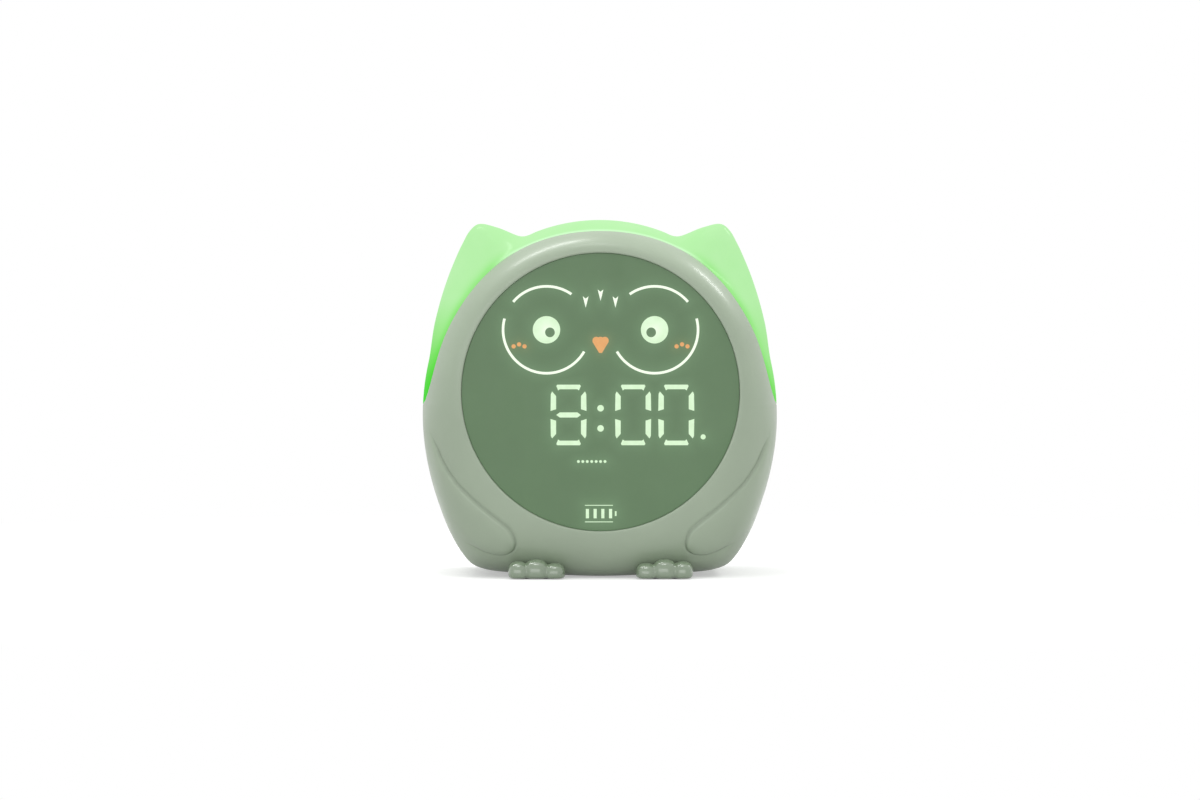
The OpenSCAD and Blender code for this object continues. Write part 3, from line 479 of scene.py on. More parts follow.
def front_shell():
    """Front shell, with its columns closer together over the wings."""
    half = np.concatenate([np.arange(0, 96, 1.0), np.arange(96, 152, 0.3), np.arange(152, 180, 1.0)])
    angles = np.concatenate([half, [180], -half[:0:-1]])
    ends = [float(front_end(a)) - SEAM_SLIT for a in angles]
    cols = np.array([shell_column(a, 0.0, end, RIM_LIP, wing=True) for a, end in zip(angles, ends)])
    obj = add_mesh("front_shell_skin", cols.reshape(-1, 3), loop_faces(len(angles), cols.shape[1], True))
    # Painted shade for the crease round each wing, stored for the shell's material.
    crease = np.zeros(cols.shape[:2])
    for i, (a, end) in enumerate(zip(angles, ends)):
        crease[i, :OUTER_ROWS] = wing_at(CREASE_PAINTED_SHADE, a, outer_rows(a, 0.0, end, RIM_LIP))
    set_values(obj, "crease", crease)
    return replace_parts(clean(obj), "front_shell")


def side_faces(base, rows):
    """Fills the band between a column's outer and inner rows."""
    faces = []
    inner = rows - OUTER_ROWS
    for r in range(OUTER_ROWS - 1):
        i0 = base + rows - 1 - round(r * (inner - 1) / (OUTER_ROWS - 1))
        i1 = base + rows - 1 - round((r + 1) * (inner - 1) / (OUTER_ROWS - 1))
        faces.append((base + r, base + r + 1, i1) if i0 == i1 else (base + r, base + r + 1, i1, i0))
    return faces


def half_shell(name, angles, start, above):
    """Hood or rear shell: it ends in the middle of the back and has two straight sides beside the seam."""
    edge = CENTRE_Z + (EDGE_SLIT if above else -EDGE_SLIT)
    lip = LIP if above else -LIP
    lip_turn = (90, 60, 30)

    def column(a, sink=0.0):
        first = float(start(beside_seam(a, 1.0))) + SEAM_SLIT
        return shell_column(a, first, 2.0, ends_on_back=True, sink=sink)

    def lip_column(a, t):
        points = column(a, LIP * (1 - cosd(t)))
        points[:, 2] = edge + lip * (1 - sind(t))
        return points

    cols = np.array([column(a) for a in angles])
    cols[:, :, 2] = (np.maximum if above else np.minimum)(cols[:, :, 2], edge + lip)
    before = [lip_column(angles[0], t) for t in lip_turn]
    after = [lip_column(angles[-1], t) for t in lip_turn[::-1]]
    cols = np.concatenate([before, cols, after])
    rows = cols.shape[1]
    middle = OUTER_ROWS - 1         # all columns meet here, so no face is needed
    faces = [face for face in loop_faces(len(cols), rows, False) if face[0] % rows != middle]
    for c in (0, len(cols) - 1):
        faces += side_faces(c * rows, rows)
    return add_mesh(name, cols.reshape(-1, 3), faces), cols


SHADE_REACH, LIGHT_REACH = 2.8, 0.8     # width of the deeper green band of painted shade and of the brighter band of painted light by the seam
EARS_START, EARS_END = (26, 40), (55, 70)       # angles over which the band of painted shade comes and fades
SHADE_KEPT = 0.4                        # what stays of it past the ears


def night_light_hood():
    """Hood, with the places marked that get painted shade (deeper green) or painted light (brighter) beside
    the seam.
    """
    angles = np.linspace(-90, 90, 361)
    obj, cols = half_shell("hood_skin", angles, seam_s, True)
    ends = (len(cols) - len(angles)) // 2
    turn = np.pad(np.abs(angles), ends, mode="edge")[:, None]
    sides = eased(turn, *EARS_START)
    ears = sides * (1 - (1 - SHADE_KEPT) * eased(turn, *EARS_END))
    away = np.linalg.norm(cols - cols[:, :1], axis=2)
    set_values(obj, "seam_shade", ears * np.exp(-((away / SHADE_REACH) ** 2)))
    set_values(obj, "edge_light", (1 - sides) * np.exp(-((away / LIGHT_REACH) ** 2)))
    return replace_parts(clean(obj), "night_light_hood")


# ---- Rear shell ----
PANEL_HALF, PANEL_R, PANEL_GAP = 33.0, 7.0, 0.25
GRILLE_PITCH, GRILLE_R = 2.7, 0.9
TOWERS = [(side * x, z) for x, z in ((51, 45), (40, 13)) for side in (-1, 1)]
TOWER_R, TOWER_BORE, TOWER_HOLE = 4.0, 2.83, 1.35       # outside, recess and screw hole of each tower
HEAD_HEIGHT, HEAD_OPENING = 1.8, 2.8                    # of the case screws
TOWER_SEAT = corner("case_screws", True, 1) - HEAD_HEIGHT
CUT_FROM, CUT_TO = PANEL_Y - 8, REAR_Y + 3              # the cutters pass right through the wall


def stadium_outline(half, r, z):
    """Two half circles joined by straight lines."""
    turn = np.linspace(-90, 90, 24)
    right = [(half + r * cosd(t), z + r * sind(t)) for t in turn]
    return right + [(-half - r * cosd(t), z - r * sind(t)) for t in turn]


def carve(obj, cutters):
    """Cuts closed meshes out of obj and removes them."""
    tool = joined(cutters, "cut")
    cut = obj.modifiers.new("cut", "BOOLEAN")
    cut.operation = "DIFFERENCE"
    cut.solver = "EXACT"
    cut.object = tool
    apply_modifiers(obj)
    bpy.data.objects.remove(tool)
    return obj


def grille_holes():
    """Middles of the speaker grille's holes: one, and three rings round it."""
    holes = [(0, SPEAKER_Z)]
    for ring in (1, 2, 3):
        for k in range(6 * ring):
            t = 60 * k / ring
            holes.append((GRILLE_PITCH * ring * cosd(t), SPEAKER_Z + GRILLE_PITCH * ring * sind(t)))
    return holes


def screw_towers(shell):
    """Tubes that carry the case screws, from the seam back into the wall of the rear shell."""
    mesh = shell.data
    tree = BVHTree.FromPolygons([v.co for v in mesh.vertices], [p.vertices for p in mesh.polygons])
    sides = 48
    front = PARTING_Y + EDGE_SLIT
    points, faces = [], []
    for x, z in TOWERS:
        cols = []
        for t in 360 * np.arange(sides) / sides:
            def at(r, y):
                return (x + r * cosd(t), y, z + r * sind(t))

            def in_wall(r):
                outside = Vector(at(r, CUT_TO)) * MM
                return at(r, tree.ray_cast(outside, (0, -1, 0))[0].y / MM - WALL / 2)

            cols += [at(TOWER_HOLE, front), at(TOWER_R, front), in_wall(TOWER_R), in_wall(TOWER_BORE),
                     at(TOWER_BORE, TOWER_SEAT), at(TOWER_HOLE, TOWER_SEAT)]
        faces += [tuple(i + len(points) for i in face) for face in loop_faces(sides, 6, True)]
        points += cols
    return sharp_by_angle(clean(add_mesh("screw_towers", points, faces)))


def rear_shell():
    """Rear shell with its panel opening, grille and screw holes, and the towers inside it."""
    angles = np.linspace(90, 270, 241)
    signed = [a if a <= 180 else a - 360 for a in angles]
    obj = clean(half_shell("rear_shell_skin", signed, parting_s, False)[0])
    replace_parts(obj, "rear_shell")
    towers = screw_towers(obj)
    outlines = [stadium_outline(PANEL_HALF, PANEL_R + PANEL_GAP, PANEL_Z)]
    outlines += [circle_outline(GRILLE_R, x, z, 20) for x, z in grille_holes()]
    cutters = [prism("cut", outline, CUT_FROM, CUT_TO) for outline in outlines]
    for x, z in TOWERS:
        cutters.append(prism("cut", circle_outline(HEAD_OPENING, x, z), PARTING_Y + 14, CUT_TO))
    return [sharp_by_angle(carve(obj, cutters), 40), towers]


# ---- Display ----
LENS_GAP, LENS_EDGE, LENS_SINK = 0.08, 0.1, 0.02        # gap to the rim, radius of the edge, depth
LEDGE_REACH, LEDGE_DEPTH = 1.1, 1.85    # of the ledge round the panel, past the rim and from the front
SPILL = (("mint_glow", "lit_windows", 2.4), ("orange_glow", "orange_windows", 1.6))     # name, windows, reach


def window_edges(node):
    """Points along the outlines of a window node's front faces, in millimetres (x, z)."""
    mesh = frame["nodes"][node].data
    co = np.array([v.co for v in mesh.vertices]) / MM
    front = co[:, 1] < LENS_Y + 0.01
    points = []
    for e in mesh.edges:
        i, j = e.vertices
        if front[i] and front[j]:
            a, b = co[i, [0, 2]], co[j, [0, 2]]
            n = max(2, int(np.linalg.norm(b - a) / 0.3) + 1)
            points.extend(a + (b - a) * t for t in np.linspace(0, 1, n))
    return points


def glow_values(points, node, reach):
    """Falls from 1 at a window's edge to 0 a few times reach away."""
    edges = window_edges(node)
    tree = KDTree(len(edges))
    for i, (x, z) in enumerate(edges):
        tree.insert((x, 0, z), i)
    tree.balance()
    return [math.exp(-((tree.find((x, 0, z))[2] / reach) ** 1.3)) for x, _, z in points]


def display_lens():
    """Dark panel with a dense front face, so that light spilling from the windows can be laid on it."""
    radius, ledge_r = DISPLAY_R - LENS_GAP, DISPLAY_R + LEDGE_REACH
    inner = radius - LENS_EDGE
    face_y, ledge_y, back_y = LENS_Y + LENS_SINK, LENS_Y + LEDGE_DEPTH, corner("display_lens", True, 1)
    rows = [(0.0, face_y)] + [(r, face_y) for r in np.linspace(0.6, inner, 84)]
    rows += [(inner + LENS_EDGE * sind(t), face_y + LENS_EDGE * (1 - cosd(t))) for t in (25, 50, 75, 90)]
    rows += [(radius, ledge_y), (ledge_r, ledge_y), (ledge_r, back_y), (0.0, back_y)]
    obj = lathe("display_lens_panel", rows, 0, DISPLAY_Z, sides=420)
    pts = np.array([v.co for v in obj.data.vertices]) / MM
    for name, node, reach in SPILL:
        set_values(obj, name, glow_values(pts, node, reach))
    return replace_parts(obj, "display_lens")


# ---- Feet ----
TOES = [(16.05, 5.65, 3.7), (22.5, 6.95, 4.4), (28.85, 6.3, 3.5)]       # middle, height and half width
TOE_LENGTH, TOE_NOSE = 19.0, 4.0            # whole length, and length of the rounded front


def toe(name, x, height, half, side):
    """One toe: a blunt rounded front, a domed top and a nearly flat sole."""
    rings, sides = 30, 40
    belly = 0.36 * height
    pts = []
    for i in range(rings):
        y = TOE_LENGTH * (i / (rings - 1)) ** 1.8
        away = max(0.0, 1 - y / TOE_NOSE)
        wide, top, sole = ((1 - away**m) ** (1 / m) for m in (2.5, 2.2, 4.5))
        for k in range(sides):
            c, s = cosd(360 * k / sides), sind(360 * k / sides)
            r = float(round_share(2.5 if s > 0 else 4, 360 * k / sides))
            up = (height - belly) * top if s > 0 else (belly - FOOT_SOLE) * sole
            pts.append((side * (x + half * wide * r * c), TOE_FRONT + y, belly + up * r * s))
    faces = loop_faces(rings, sides, False)
    faces += [tuple(range(sides)), tuple(range((rings - 1) * sides, rings * sides))]
    return clean(add_mesh(name, pts, faces, None), 1e-6)


def foot(name, node, side):
    """Three toes merged into one moulding with soft creases between them."""
    obj = joined([toe(name + "_toe", *sizes, side) for sizes in TOES], name)
    remesh = obj.modifiers.new("merge", "REMESH")
    remesh.mode = "VOXEL"
    remesh.voxel_size = 0.22 * MM
    soften = obj.modifiers.new("soften", "SMOOTH")
    soften.factor = 0.5
    soften.iterations = 20
    apply_modifiers(obj)
    obj.data.shade_smooth()
    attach(obj, BODY)
    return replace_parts(obj, node)


# ---- Rear controls ----
def softened(node, name, width):
    """Copy of a CAD node whose hard edges are rounded."""
    source = frame["nodes"][node]
    obj = bpy.data.objects.new(name, source.data.copy())
    bpy.context.scene.collection.objects.link(obj)
    with editing(obj) as bm:
        bmesh.ops.remove_doubles(bm, verts=bm.verts, dist=1e-6)
        bmesh.ops.dissolve_limit(bm, angle_limit=math.radians(1), verts=bm.verts, edges=bm.edges)
    round_edges(obj, width, 3)
    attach(obj, source["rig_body"])
    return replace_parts(obj, node)


BUTTONS = ("light", "alarm", "clock", "plus", "minus")
CAP_TOP, MARK_TOP = REAR_Y + 0.35, REAR_Y + 0.5
CAP_R, CAP_EDGE = 4.0, 0.9
DISH_R, DISH_DEPTH = CAP_R - CAP_EDGE, 0.22
BASE_R, BASE_HEIGHT, BASE_EDGE = 4.9, 1.0, 0.15


def button_cap(kind, x):
    """Dished cap with a rounded edge, on a wider base."""
    low = corner(kind + "_button", False, 1)
    high = low + BASE_HEIGHT
    inner = BASE_R - BASE_EDGE
    base = [(0, low), (inner, low), (BASE_R, low + BASE_EDGE), (BASE_R, high - BASE_EDGE),
            (inner, high), (CAP_R, high)]
    edge = [(DISH_R + CAP_EDGE * sind(t), CAP_TOP - CAP_EDGE * (1 - cosd(t))) for t in np.linspace(90, 8, 9)]
    dish = [(r, CAP_TOP - DISH_DEPTH * (1 - (r / DISH_R) ** 2)) for r in np.linspace(DISH_R, 0, 12)]
    obj = lathe(kind + "_button_cap", base + edge + dish, x, PANEL_Z, kind + "_button_body")
    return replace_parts(obj, kind + "_button")


def raised(name, outlines, x, body):
    """Low raised mark made of flat outlines, seen from behind, with softened edges."""
    made = []
    for outline in outlines:
        pts = [(x - u, PANEL_Z + v) for u, v in outline]
        made.append(prism(name, pts, REAR_Y, MARK_TOP))
    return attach(round_edges(joined(made, name), 0.06, 2), body)


def bar(w, h, u=0.0, v=0.0, turn=0.0):
    """A rectangle with its middle at (u, v), turned."""
    c, s = cosd(turn), sind(turn)
    return [(u + c * a - s * b, v + s * a + c * b) for a, b in
            ((-w / 2, -h / 2), (w / 2, -h / 2), (w / 2, h / 2), (-w / 2, h / 2))]


def ring_outline(r0, r1):
    """A ring with one slit, as a single outline."""
    turn = np.linspace(2, 358, 28)
    return [(r * cosd(t), r * sind(t)) for r, way in ((r1, turn), (r0, turn[::-1])) for t in way]


def button_marks():
    """Plain symbols: sun, bell, clock hands, plus and minus."""
    rays = [bar(0.75, 0.3, 1.6 * cosd(t), 1.6 * sind(t), t) for t in range(0, 360, 45)]
    sun = [circle_outline(0.85, sides=20)] + rays
    dome = [(0.95 * cosd(t), 0.25 + 0.95 * sind(t)) for t in np.linspace(0, 180, 14)]
    bell = [dome + [(-1.0, -0.6), (-1.5, -1.1), (1.5, -1.1), (1.0, -0.6)], circle_outline(0.36, 0, -1.62, 14)]
    dial = [ring_outline(1.45, 1.8), bar(0.3, 1.1, 0, 0.5), bar(0.9, 0.3, 0.4, 0.0)]
    minus = [bar(2.9, 0.55)]
    plus = minus + [bar(0.55, 1.1, 0, 0.85), bar(0.55, 1.1, 0, -0.85)]
    return {"light": sun, "alarm": bell, "clock": dial, "plus": plus, "minus": minus}


def case_details():
    """Small parts on the outside: panel, caps with their marks, slider, socket and pads."""
    pieces = {"panel_plastic": [softened("control_panel", "control_panel_face", 0.3)]}
    caps, marks = [], button_marks()
    for kind in BUTTONS:
        x = (corner(kind + "_button", False, 0) + corner(kind + "_button", True, 0)) / 2
        caps.append(button_cap(kind, x))
        marks[kind] = raised(kind + "_mark", marks[kind], x, kind + "_button_body")
    pieces["mark"] = list(marks.values())
    pieces["light_button_plastic"] = caps[:1]
    pieces["button_plastic"] = caps[1:]
    pieces["black_plastic"] = [softened("power_slider", "power_slider_knob", 0.25)]
    pieces["steel"] = [softened("usb_socket_shell", "usb_socket_rim", 0.1)]
    pads = ("foot_pads", 0.15), ("rear_pads", 0.4)
    pieces["pad_rubber"] = [softened(node, node + "_soft", width) for node, width in pads]
    return pieces


# ---- Materials ----
def srgb(r, g, b):
    """Linear colour from 0-255 display values."""
    def lin(v):
        v /= 255
        return v / 12.92 if v <= 0.04045 else ((v + 0.055) / 1.055) ** 2.4
    return (lin(r), lin(g), lin(b), 1.0)


def shade(color, k):
    """The colour made lighter or darker."""
    return tuple(min(1.0, c * k) for c in color[:3]) + (1.0,)


class Nodes:
    """The node tree of a material or a world, with short calls that build it."""

    def __init__(self, owner):
        owner.use_nodes = True
        self.tree = owner.node_tree

    def put(self, value, socket):
        """Feeds a socket from another socket, or with a constant."""
        if isinstance(value, bpy.types.NodeSocket):
            self.tree.links.new(value, socket)
        else:
            socket.default_value = value

    def node(self, kind, *inputs, **settings):
        """New node, with its first inputs fed in order."""
        made = self.tree.nodes.new(kind)
        for key, value in settings.items():
            setattr(made, key, value)
        for value, socket in zip(inputs, made.inputs):
            self.put(value, socket)
        return made

    def result(self, kind, *inputs, **settings):
        """First output of a new node."""
        return self.node(kind, *inputs, **settings).outputs[0]

    def math(self, operation, *values):
        """Result of one arithmetic step."""
        return self.result("ShaderNodeMath", *values, operation=operation)

    def spread(self, factor, low, high, to_low=0.0, to_high=1.0, **settings):
        """Maps factor from low..high to to_low..to_high, clamped."""
        return self.result("ShaderNodeMapRange", factor, low, high, to_low, to_high, **settings)

    def mix(self, factor, a, b):
        """Mix of two colours or sockets."""
        mixed = self.node("ShaderNodeMix", factor, data_type="RGBA")
        self.put(a, mixed.inputs[6])
        self.put(b, mixed.inputs[7])
        return mixed.outputs[2]


class Look(Nodes):
    """One Principled material, laid out in the space of its object."""

    def __init__(self, name, color, rough, **fixed):
        self.material = bpy.data.materials.new(name)
        super().__init__(self.material)
        self.shader = self.tree.nodes["Principled BSDF"]
        self.color = color
        for socket, value in {"Base Color": color, "Roughness": rough, **fixed}.items():
            self.feed(socket.replace("_", " "), value)
        self.place = self.node("ShaderNodeTexCoord").outputs["Object"]

    def feed(self, socket, value):
        """Feeds one socket of the Principled shader."""
        self.put(value, self.shader.inputs[socket])
        return self

    def noise(self, size, detail, stretch=None):
        """Noise whose features are about size millimetres; stretch lengthens them along X, Y and Z."""
        place = self.place
        if stretch:
            mapping = self.node("ShaderNodeMapping", place)
            mapping.inputs["Scale"].default_value = [1 / s for s in stretch]
            place = mapping.outputs["Vector"]
        noise = self.node("ShaderNodeTexNoise", place)
        noise.inputs["Scale"].default_value = 1 / (size * MM)
        noise.inputs["Detail"].default_value = detail
        return noise.outputs["Fac"]

    def attribute(self, name):
        """Numbers stored on the mesh."""
        return self.node("ShaderNodeAttribute", attribute_name=name).outputs["Fac"]

    def axis(self, which):
        """One coordinate of the place, in metres."""
        return self.node("ShaderNodeSeparateXYZ", self.place).outputs[which]

    def ramp(self, factor, stops):
        """Colour ramp through (position, colour) stops."""
        made = self.node("ShaderNodeValToRGB", factor)
        elements = made.color_ramp.elements
        while len(elements) < len(stops):
            elements.new(0.5)
        for element, (position, color) in zip(elements, stops):
            element.position = position
            element.color = color
        return made.outputs["Color"]

    def tone(self, size, amount):
        """Slow drift of the base colour, as in a moulding."""
        low, high = shade(self.color, 1 - amount), shade(self.color, 1 + amount)
        return self.feed("Base Color", self.mix(self.spread(self.noise(size, 3), 0.3, 0.7), low, high))

    def sheen_drift(self, size, low, high):
        """Slow drift of the roughness."""
        return self.feed("Roughness", self.spread(self.noise(size, 3), 0.3, 0.7, low, high))

    def relief(self, *layers):
        """Bump from (height, distance in millimetres) layers, one over the other."""
        normal = None
        for height, distance in layers:
            bump = self.node("ShaderNodeBump")
            bump.inputs["Strength"].default_value = 1.0
            bump.inputs["Distance"].default_value = distance * MM
            self.put(height, bump.inputs["Height"])
            if normal is not None:
                self.put(normal, bump.inputs["Normal"])
            normal = bump.outputs["Normal"]
        return self.feed("Normal", normal)

    def glow(self, color, strength):
        """Light given off."""
        return self.feed("Emission Color", color).feed("Emission Strength", strength)


WHITE, BLACK = (1.0, 1.0, 1.0, 1.0), (0.0, 0.0, 0.0, 1.0)
SAGE = srgb(158, 173, 151)
LENS_GREEN = srgb(95, 125, 89)
EYE_X, EYE_Z = 18.9, 87.3       # middle of each eye
LINES_Z = 69.0                  # everything lit above this height is a line of the face
HOT_R, LINE_R = 4.8, 5.4        # reach of the hot spot in each eye, and where the thin lines start


MOULDED = {     # display colour, roughness, and where given size and depth of grain, and drift of tone
    "adhesive": ((232, 232, 224), 0.85, 0.4, 0.02),
    "film": ((244, 246, 240), 0.6, 0.15, 0.001),
    "white_plastic": ((238, 238, 232), 0.45),
    "black_plastic": ((42, 45, 47), 0.42, 0.25, 0.004, 0.08),
    "panel_plastic": ((138, 154, 131), 0.42, 0.3, 0.006),
    "button_plastic": ((199, 210, 192), 0.35, 0.3, 0.003),
    "light_button_plastic": ((168, 228, 152), 0.35, 0.3, 0.003),
    "mark": ((96, 112, 92), 0.45, 0.3, 0.002),
    "paper_cone": ((44, 44, 46), 0.85, 0.5, 0.05, 0.15),
    "red_wire": ((178, 48, 42), 0.38, 0.6, 0.01),
    "black_wire": ((38, 38, 40), 0.38, 0.6, 0.01, 0.1),
    "flex": ((214, 186, 128), 0.35, 0.8, 0.004, 0.05),
}


def moulded(name, color, rough, grain=0.3, depth=0.004, tone=0.02):
    """Moulded plastic with a fine grain and a slow drift of tone and gloss."""
    look = Look(name, srgb(*color), rough)
    look.tone(14, tone)
    look.sheen_drift(9, rough - 0.05, rough + 0.05)
    look.relief((look.noise(grain, 2), depth), (look.noise(7, 2), 0.02))
    return look.material


def sage_plastic():
    """Satin shell: eroded grain, faint flow marks, and painted shade darkening the crease of the wings."""
    look = Look("sage_plastic", SAGE, 0.38, Coat_Weight=0.3, Coat_Roughness=0.19)
    drift = look.mix(look.spread(look.noise(22, 4), 0.35, 0.65), shade(SAGE, 0.975), shade(SAGE, 1.02))
    flecks = look.spread(look.noise(0.7, 1), 0.62, 0.8, 0.0, 0.25)
    flecked = look.mix(flecks, drift, shade(SAGE, 1.08))
    # Painted shade: the base colour is darkened along the crease round each wing.
    crease = look.math("MULTIPLY", look.attribute("crease"), 0.7)
    look.feed("Base Color", look.mix(crease, flecked, shade(SAGE, 0.7)))
    look.sheen_drift(11, 0.34, 0.44)
    look.relief((look.noise(0.28, 2), 0.0045), (look.noise(9, 2), 0.007))
    return look.material


GLOW_TOP = 38.0     # height above the straight seam at which the hood has its palest colour
GLOW_STOPS = [      # share of that height, and colour
    (0.0, srgb(50, 217, 24)), (0.13, srgb(58, 216, 30)), (0.26, srgb(76, 218, 46)),
    (0.44, srgb(112, 226, 86)), (0.63, srgb(149, 232, 130)), (0.81, srgb(169, 236, 154)),
    (1.0, srgb(185, 240, 173)),
]


def hood_plastic():
    """Milky hood lit from inside: its painted glow, mint on the ears and dome and stronger green towards the
    seams, goes into the base colour as well as the emission.
    """
    look = Look("hood_plastic", srgb(185, 240, 173), 0.3,
                Specular_IOR_Level=0.0, Coat_Weight=0.15, Coat_Roughness=0.2)
    height = look.spread(look.axis("Z"), CENTRE_Z * MM, (CENTRE_Z + GLOW_TOP) * MM)
    # Painted light: the glow gets brighter with height, towards the back and towards the right side.
    behind = look.spread(look.axis("Y"), -4 * MM, 22 * MM, 0.0, 0.5)
    lifted = look.math("ADD", height, look.math("MULTIPLY", behind, look.math("SUBTRACT", 1.0, height)))
    uneven = look.spread(look.axis("X"), 0.0, 50 * MM, 0.0, 0.42)
    lifted = look.math("ADD", lifted, look.math("MULTIPLY", uneven, look.math("SUBTRACT", 1.0, lifted)))
    by_seam = look.math("MULTIPLY", lifted, look.spread(look.attribute("seam_shade"), 0.0, 1.0, 1.0, 0.68))
    clouded = look.math("MULTIPLY", by_seam, look.spread(look.noise(16, 3), 0.35, 0.65, 0.94, 1.0))
    # Painted light: a brighter line along the seam at the top.
    lit = look.mix(look.attribute("edge_light"), look.ramp(clouded, GLOW_STOPS), srgb(206, 255, 200))
    # The base colour carries the same painted glow, at a fifth of its strength.
    look.feed("Base Color", look.mix(0.8, lit, BLACK))
    look.sheen_drift(10, 0.26, 0.36)
    look.relief((look.noise(0.28, 2), 0.003), (look.noise(9, 3), 0.02))
    return look.glow(lit, 0.8).material


def lens_plastic():
    """Dark green panel with fine print grain, and light from the windows spread in it."""
    look = Look("lens_plastic", LENS_GREEN, 0.42)
    look.tone(18, 0.03)
    look.sheen_drift(6, 0.38, 0.48)
    look.relief((look.noise(0.2, 1), 0.0015))
    mint = look.mix(look.attribute("mint_glow"), BLACK, srgb(74, 96, 74))
    both = look.mix(look.attribute("orange_glow"), mint, srgb(96, 84, 50))
    return look.glow(both, 0.35).material


def window(name, color, dim):
    """Lit window in the dark panel, with the soft clouds and the grain of the film behind it."""
    look = Look(name, LENS_GREEN, 0.42)
    look.tone(2, 0.05)
    cloud = look.mix(look.spread(look.noise(2.4, 2), 0.35, 0.65), dim, color)
    look.relief((look.noise(0.2, 1), 0.001))
    return look, cloud


def mint_window():
    """The digits are mint; the thin lines of the face are nearly white, and each eye has a hot spot."""
    look, cloud = window("mint_window", srgb(206, 226, 198), srgb(198, 220, 188))
    height = look.axis("Z")
    across = look.math("SUBTRACT", look.math("ABSOLUTE", look.axis("X")), EYE_X * MM)
    up = look.math("SUBTRACT", height, EYE_Z * MM)
    squares = [look.math("MULTIPLY", side, side) for side in (across, up)]
    away = look.math("SQRT", look.math("ADD", *squares))
    thin = look.spread(away, LINE_R * MM, (LINE_R + 0.4) * MM)
    line = look.math("MULTIPLY", look.spread(height, LINES_Z * MM, (LINES_Z + 1) * MM), thin)
    drawn = look.mix(line, cloud, srgb(236, 240, 228))
    hot = look.math("POWER", look.spread(away, 0.0, HOT_R * MM, 1.0, 0.0), 1.5)
    return look.glow(look.mix(hot, drawn, srgb(228, 238, 219)), 1.0).material


def orange_window():
    """Beak and cheeks."""
    look, cloud = window("orange_window", srgb(218, 126, 60), srgb(212, 118, 54))
    return look.glow(cloud, 1.0).material


def foot_plastic():
    """Smoother and glossier than the shell."""
    look = Look("foot_plastic", srgb(119, 138, 111), 0.3,
                Coat_Weight=1.0, Coat_Roughness=0.12, Coat_IOR=1.85)
    look.tone(8, 0.025)
    look.sheen_drift(5, 0.26, 0.34)
    look.relief((look.noise(3.5, 2), 0.012))
    return look.material


def rubber():
    """Matt grey pads."""
    look = Look("pad_rubber", srgb(70, 74, 70), 0.8)
    look.tone(2.5, 0.15)
    look.relief((look.noise(0.5, 3), 0.03))
    return look.material


def metal(name, color, rough, brush):
    """Plated or brushed metal; brush gives the stretch of its marks."""
    look = Look(name, color, rough, Metallic=1.0)
    look.tone(3, 0.08)
    look.sheen_drift(1.2, rough - 0.08, rough + 0.1)
    look.relief((look.noise(0.12, 2, brush), 0.002))
    return look.material


def circuit_board(name, mask, trace):
    """Solder mask over faint copper tracks."""
    look = Look(name, mask, 0.35, Coat_Weight=0.5, Coat_Roughness=0.15)
    turned = look.node("ShaderNodeMapping", look.place)
    turned.inputs["Rotation"].default_value = (math.radians(90), 0, 0)
    brick = look.node("ShaderNodeTexBrick", turned.outputs["Vector"], offset=0.37)
    sizes = {"Scale": 1.0, "Mortar Size": 0.14 * MM, "Brick Width": 4.1 * MM, "Row Height": 0.9 * MM}
    for key, value in sizes.items():
        brick.inputs[key].default_value = value
    tracks = look.spread(brick.outputs["Fac"], 0.2, 0.8)
    look.feed("Base Color", look.mix(tracks, mask, trace))
    look.relief((tracks, 0.03))
    return look.material


def woven(name, color, dark):
    """Fibre tape: two sets of fine threads."""
    look = Look(name, color, 0.75)
    threads = []
    for direction in ("X", "Z"):
        wave = look.node("ShaderNodeTexWave", look.place, wave_type="BANDS", bands_direction=direction)
        wave.inputs["Scale"].default_value = 620.0
        threads.append(wave.outputs["Fac"])
    weave = look.math("MULTIPLY", threads[0], threads[1])
    look.feed("Base Color", look.mix(look.spread(weave, 0.0, 0.8), dark, color))
    look.relief((weave, 0.05))
    return look.material


def cell_wrap():
    """Shrink wrap with faint ripples along the cell."""
    look = Look("cell_wrap", srgb(62, 124, 140), 0.28, Coat_Weight=0.4, Coat_Roughness=0.1)
    look.tone(9, 0.06)
    look.relief((look.noise(1.6, 3, (6, 1, 1)), 0.04))
    return look.material


def lamp(name, color):
    """Faintly lit LED package."""
    look = Look(name, color, 0.3)
    cloud = look.mix(look.spread(look.noise(0.6, 2), 0.3, 0.7), shade(color, 0.85), color)
    return look.feed("Base Color", cloud).glow(cloud, 0.6).material


def make_looks():
    """One material for each slot of the record, and one for the marks on the caps."""
    looks = {name: moulded(name, *values) for name, values in MOULDED.items()}
    looks.update({
        "sage_body": sage_plastic(),
        "hood_plastic": hood_plastic(),
        "foot_plastic": foot_plastic(),
        "pad_rubber": rubber(),
        "lens_plastic": lens_plastic(),
        "mint_window": mint_window(),
        "orange_window": orange_window(),
        "board": circuit_board("board", srgb(38, 88, 54), srgb(62, 122, 76)),
        "white_board": circuit_board("white_board", srgb(236, 238, 232), srgb(214, 216, 208)),
        "led": lamp("led", srgb(226, 248, 196)),
        "steel": metal("steel", srgb(190, 193, 195), 0.32, (12, 1, 1)),
        "magnet_metal": metal("magnet_metal", srgb(200, 201, 203), 0.16, (1, 1, 1)),
        "cell_wrap": cell_wrap(),
        "fibre_tape": woven("fibre_tape", srgb(236, 230, 208), srgb(196, 188, 160)),
    })
    return looks


def dress(obj, slot, looks):
    """Gives a piece the material of its slot."""
    obj.data.materials.clear()
    obj.data.materials.append(looks[slot])


def dress_cad_nodes(looks):
    """The carried-over CAD nodes take the material of their slot."""
    for part in frame["record"]["subparts"]:
        node = frame["nodes"][part["node"]]
        for slot in node.material_slots:
            slot.link = "OBJECT"
            slot.material = looks[part["material_slot"]]


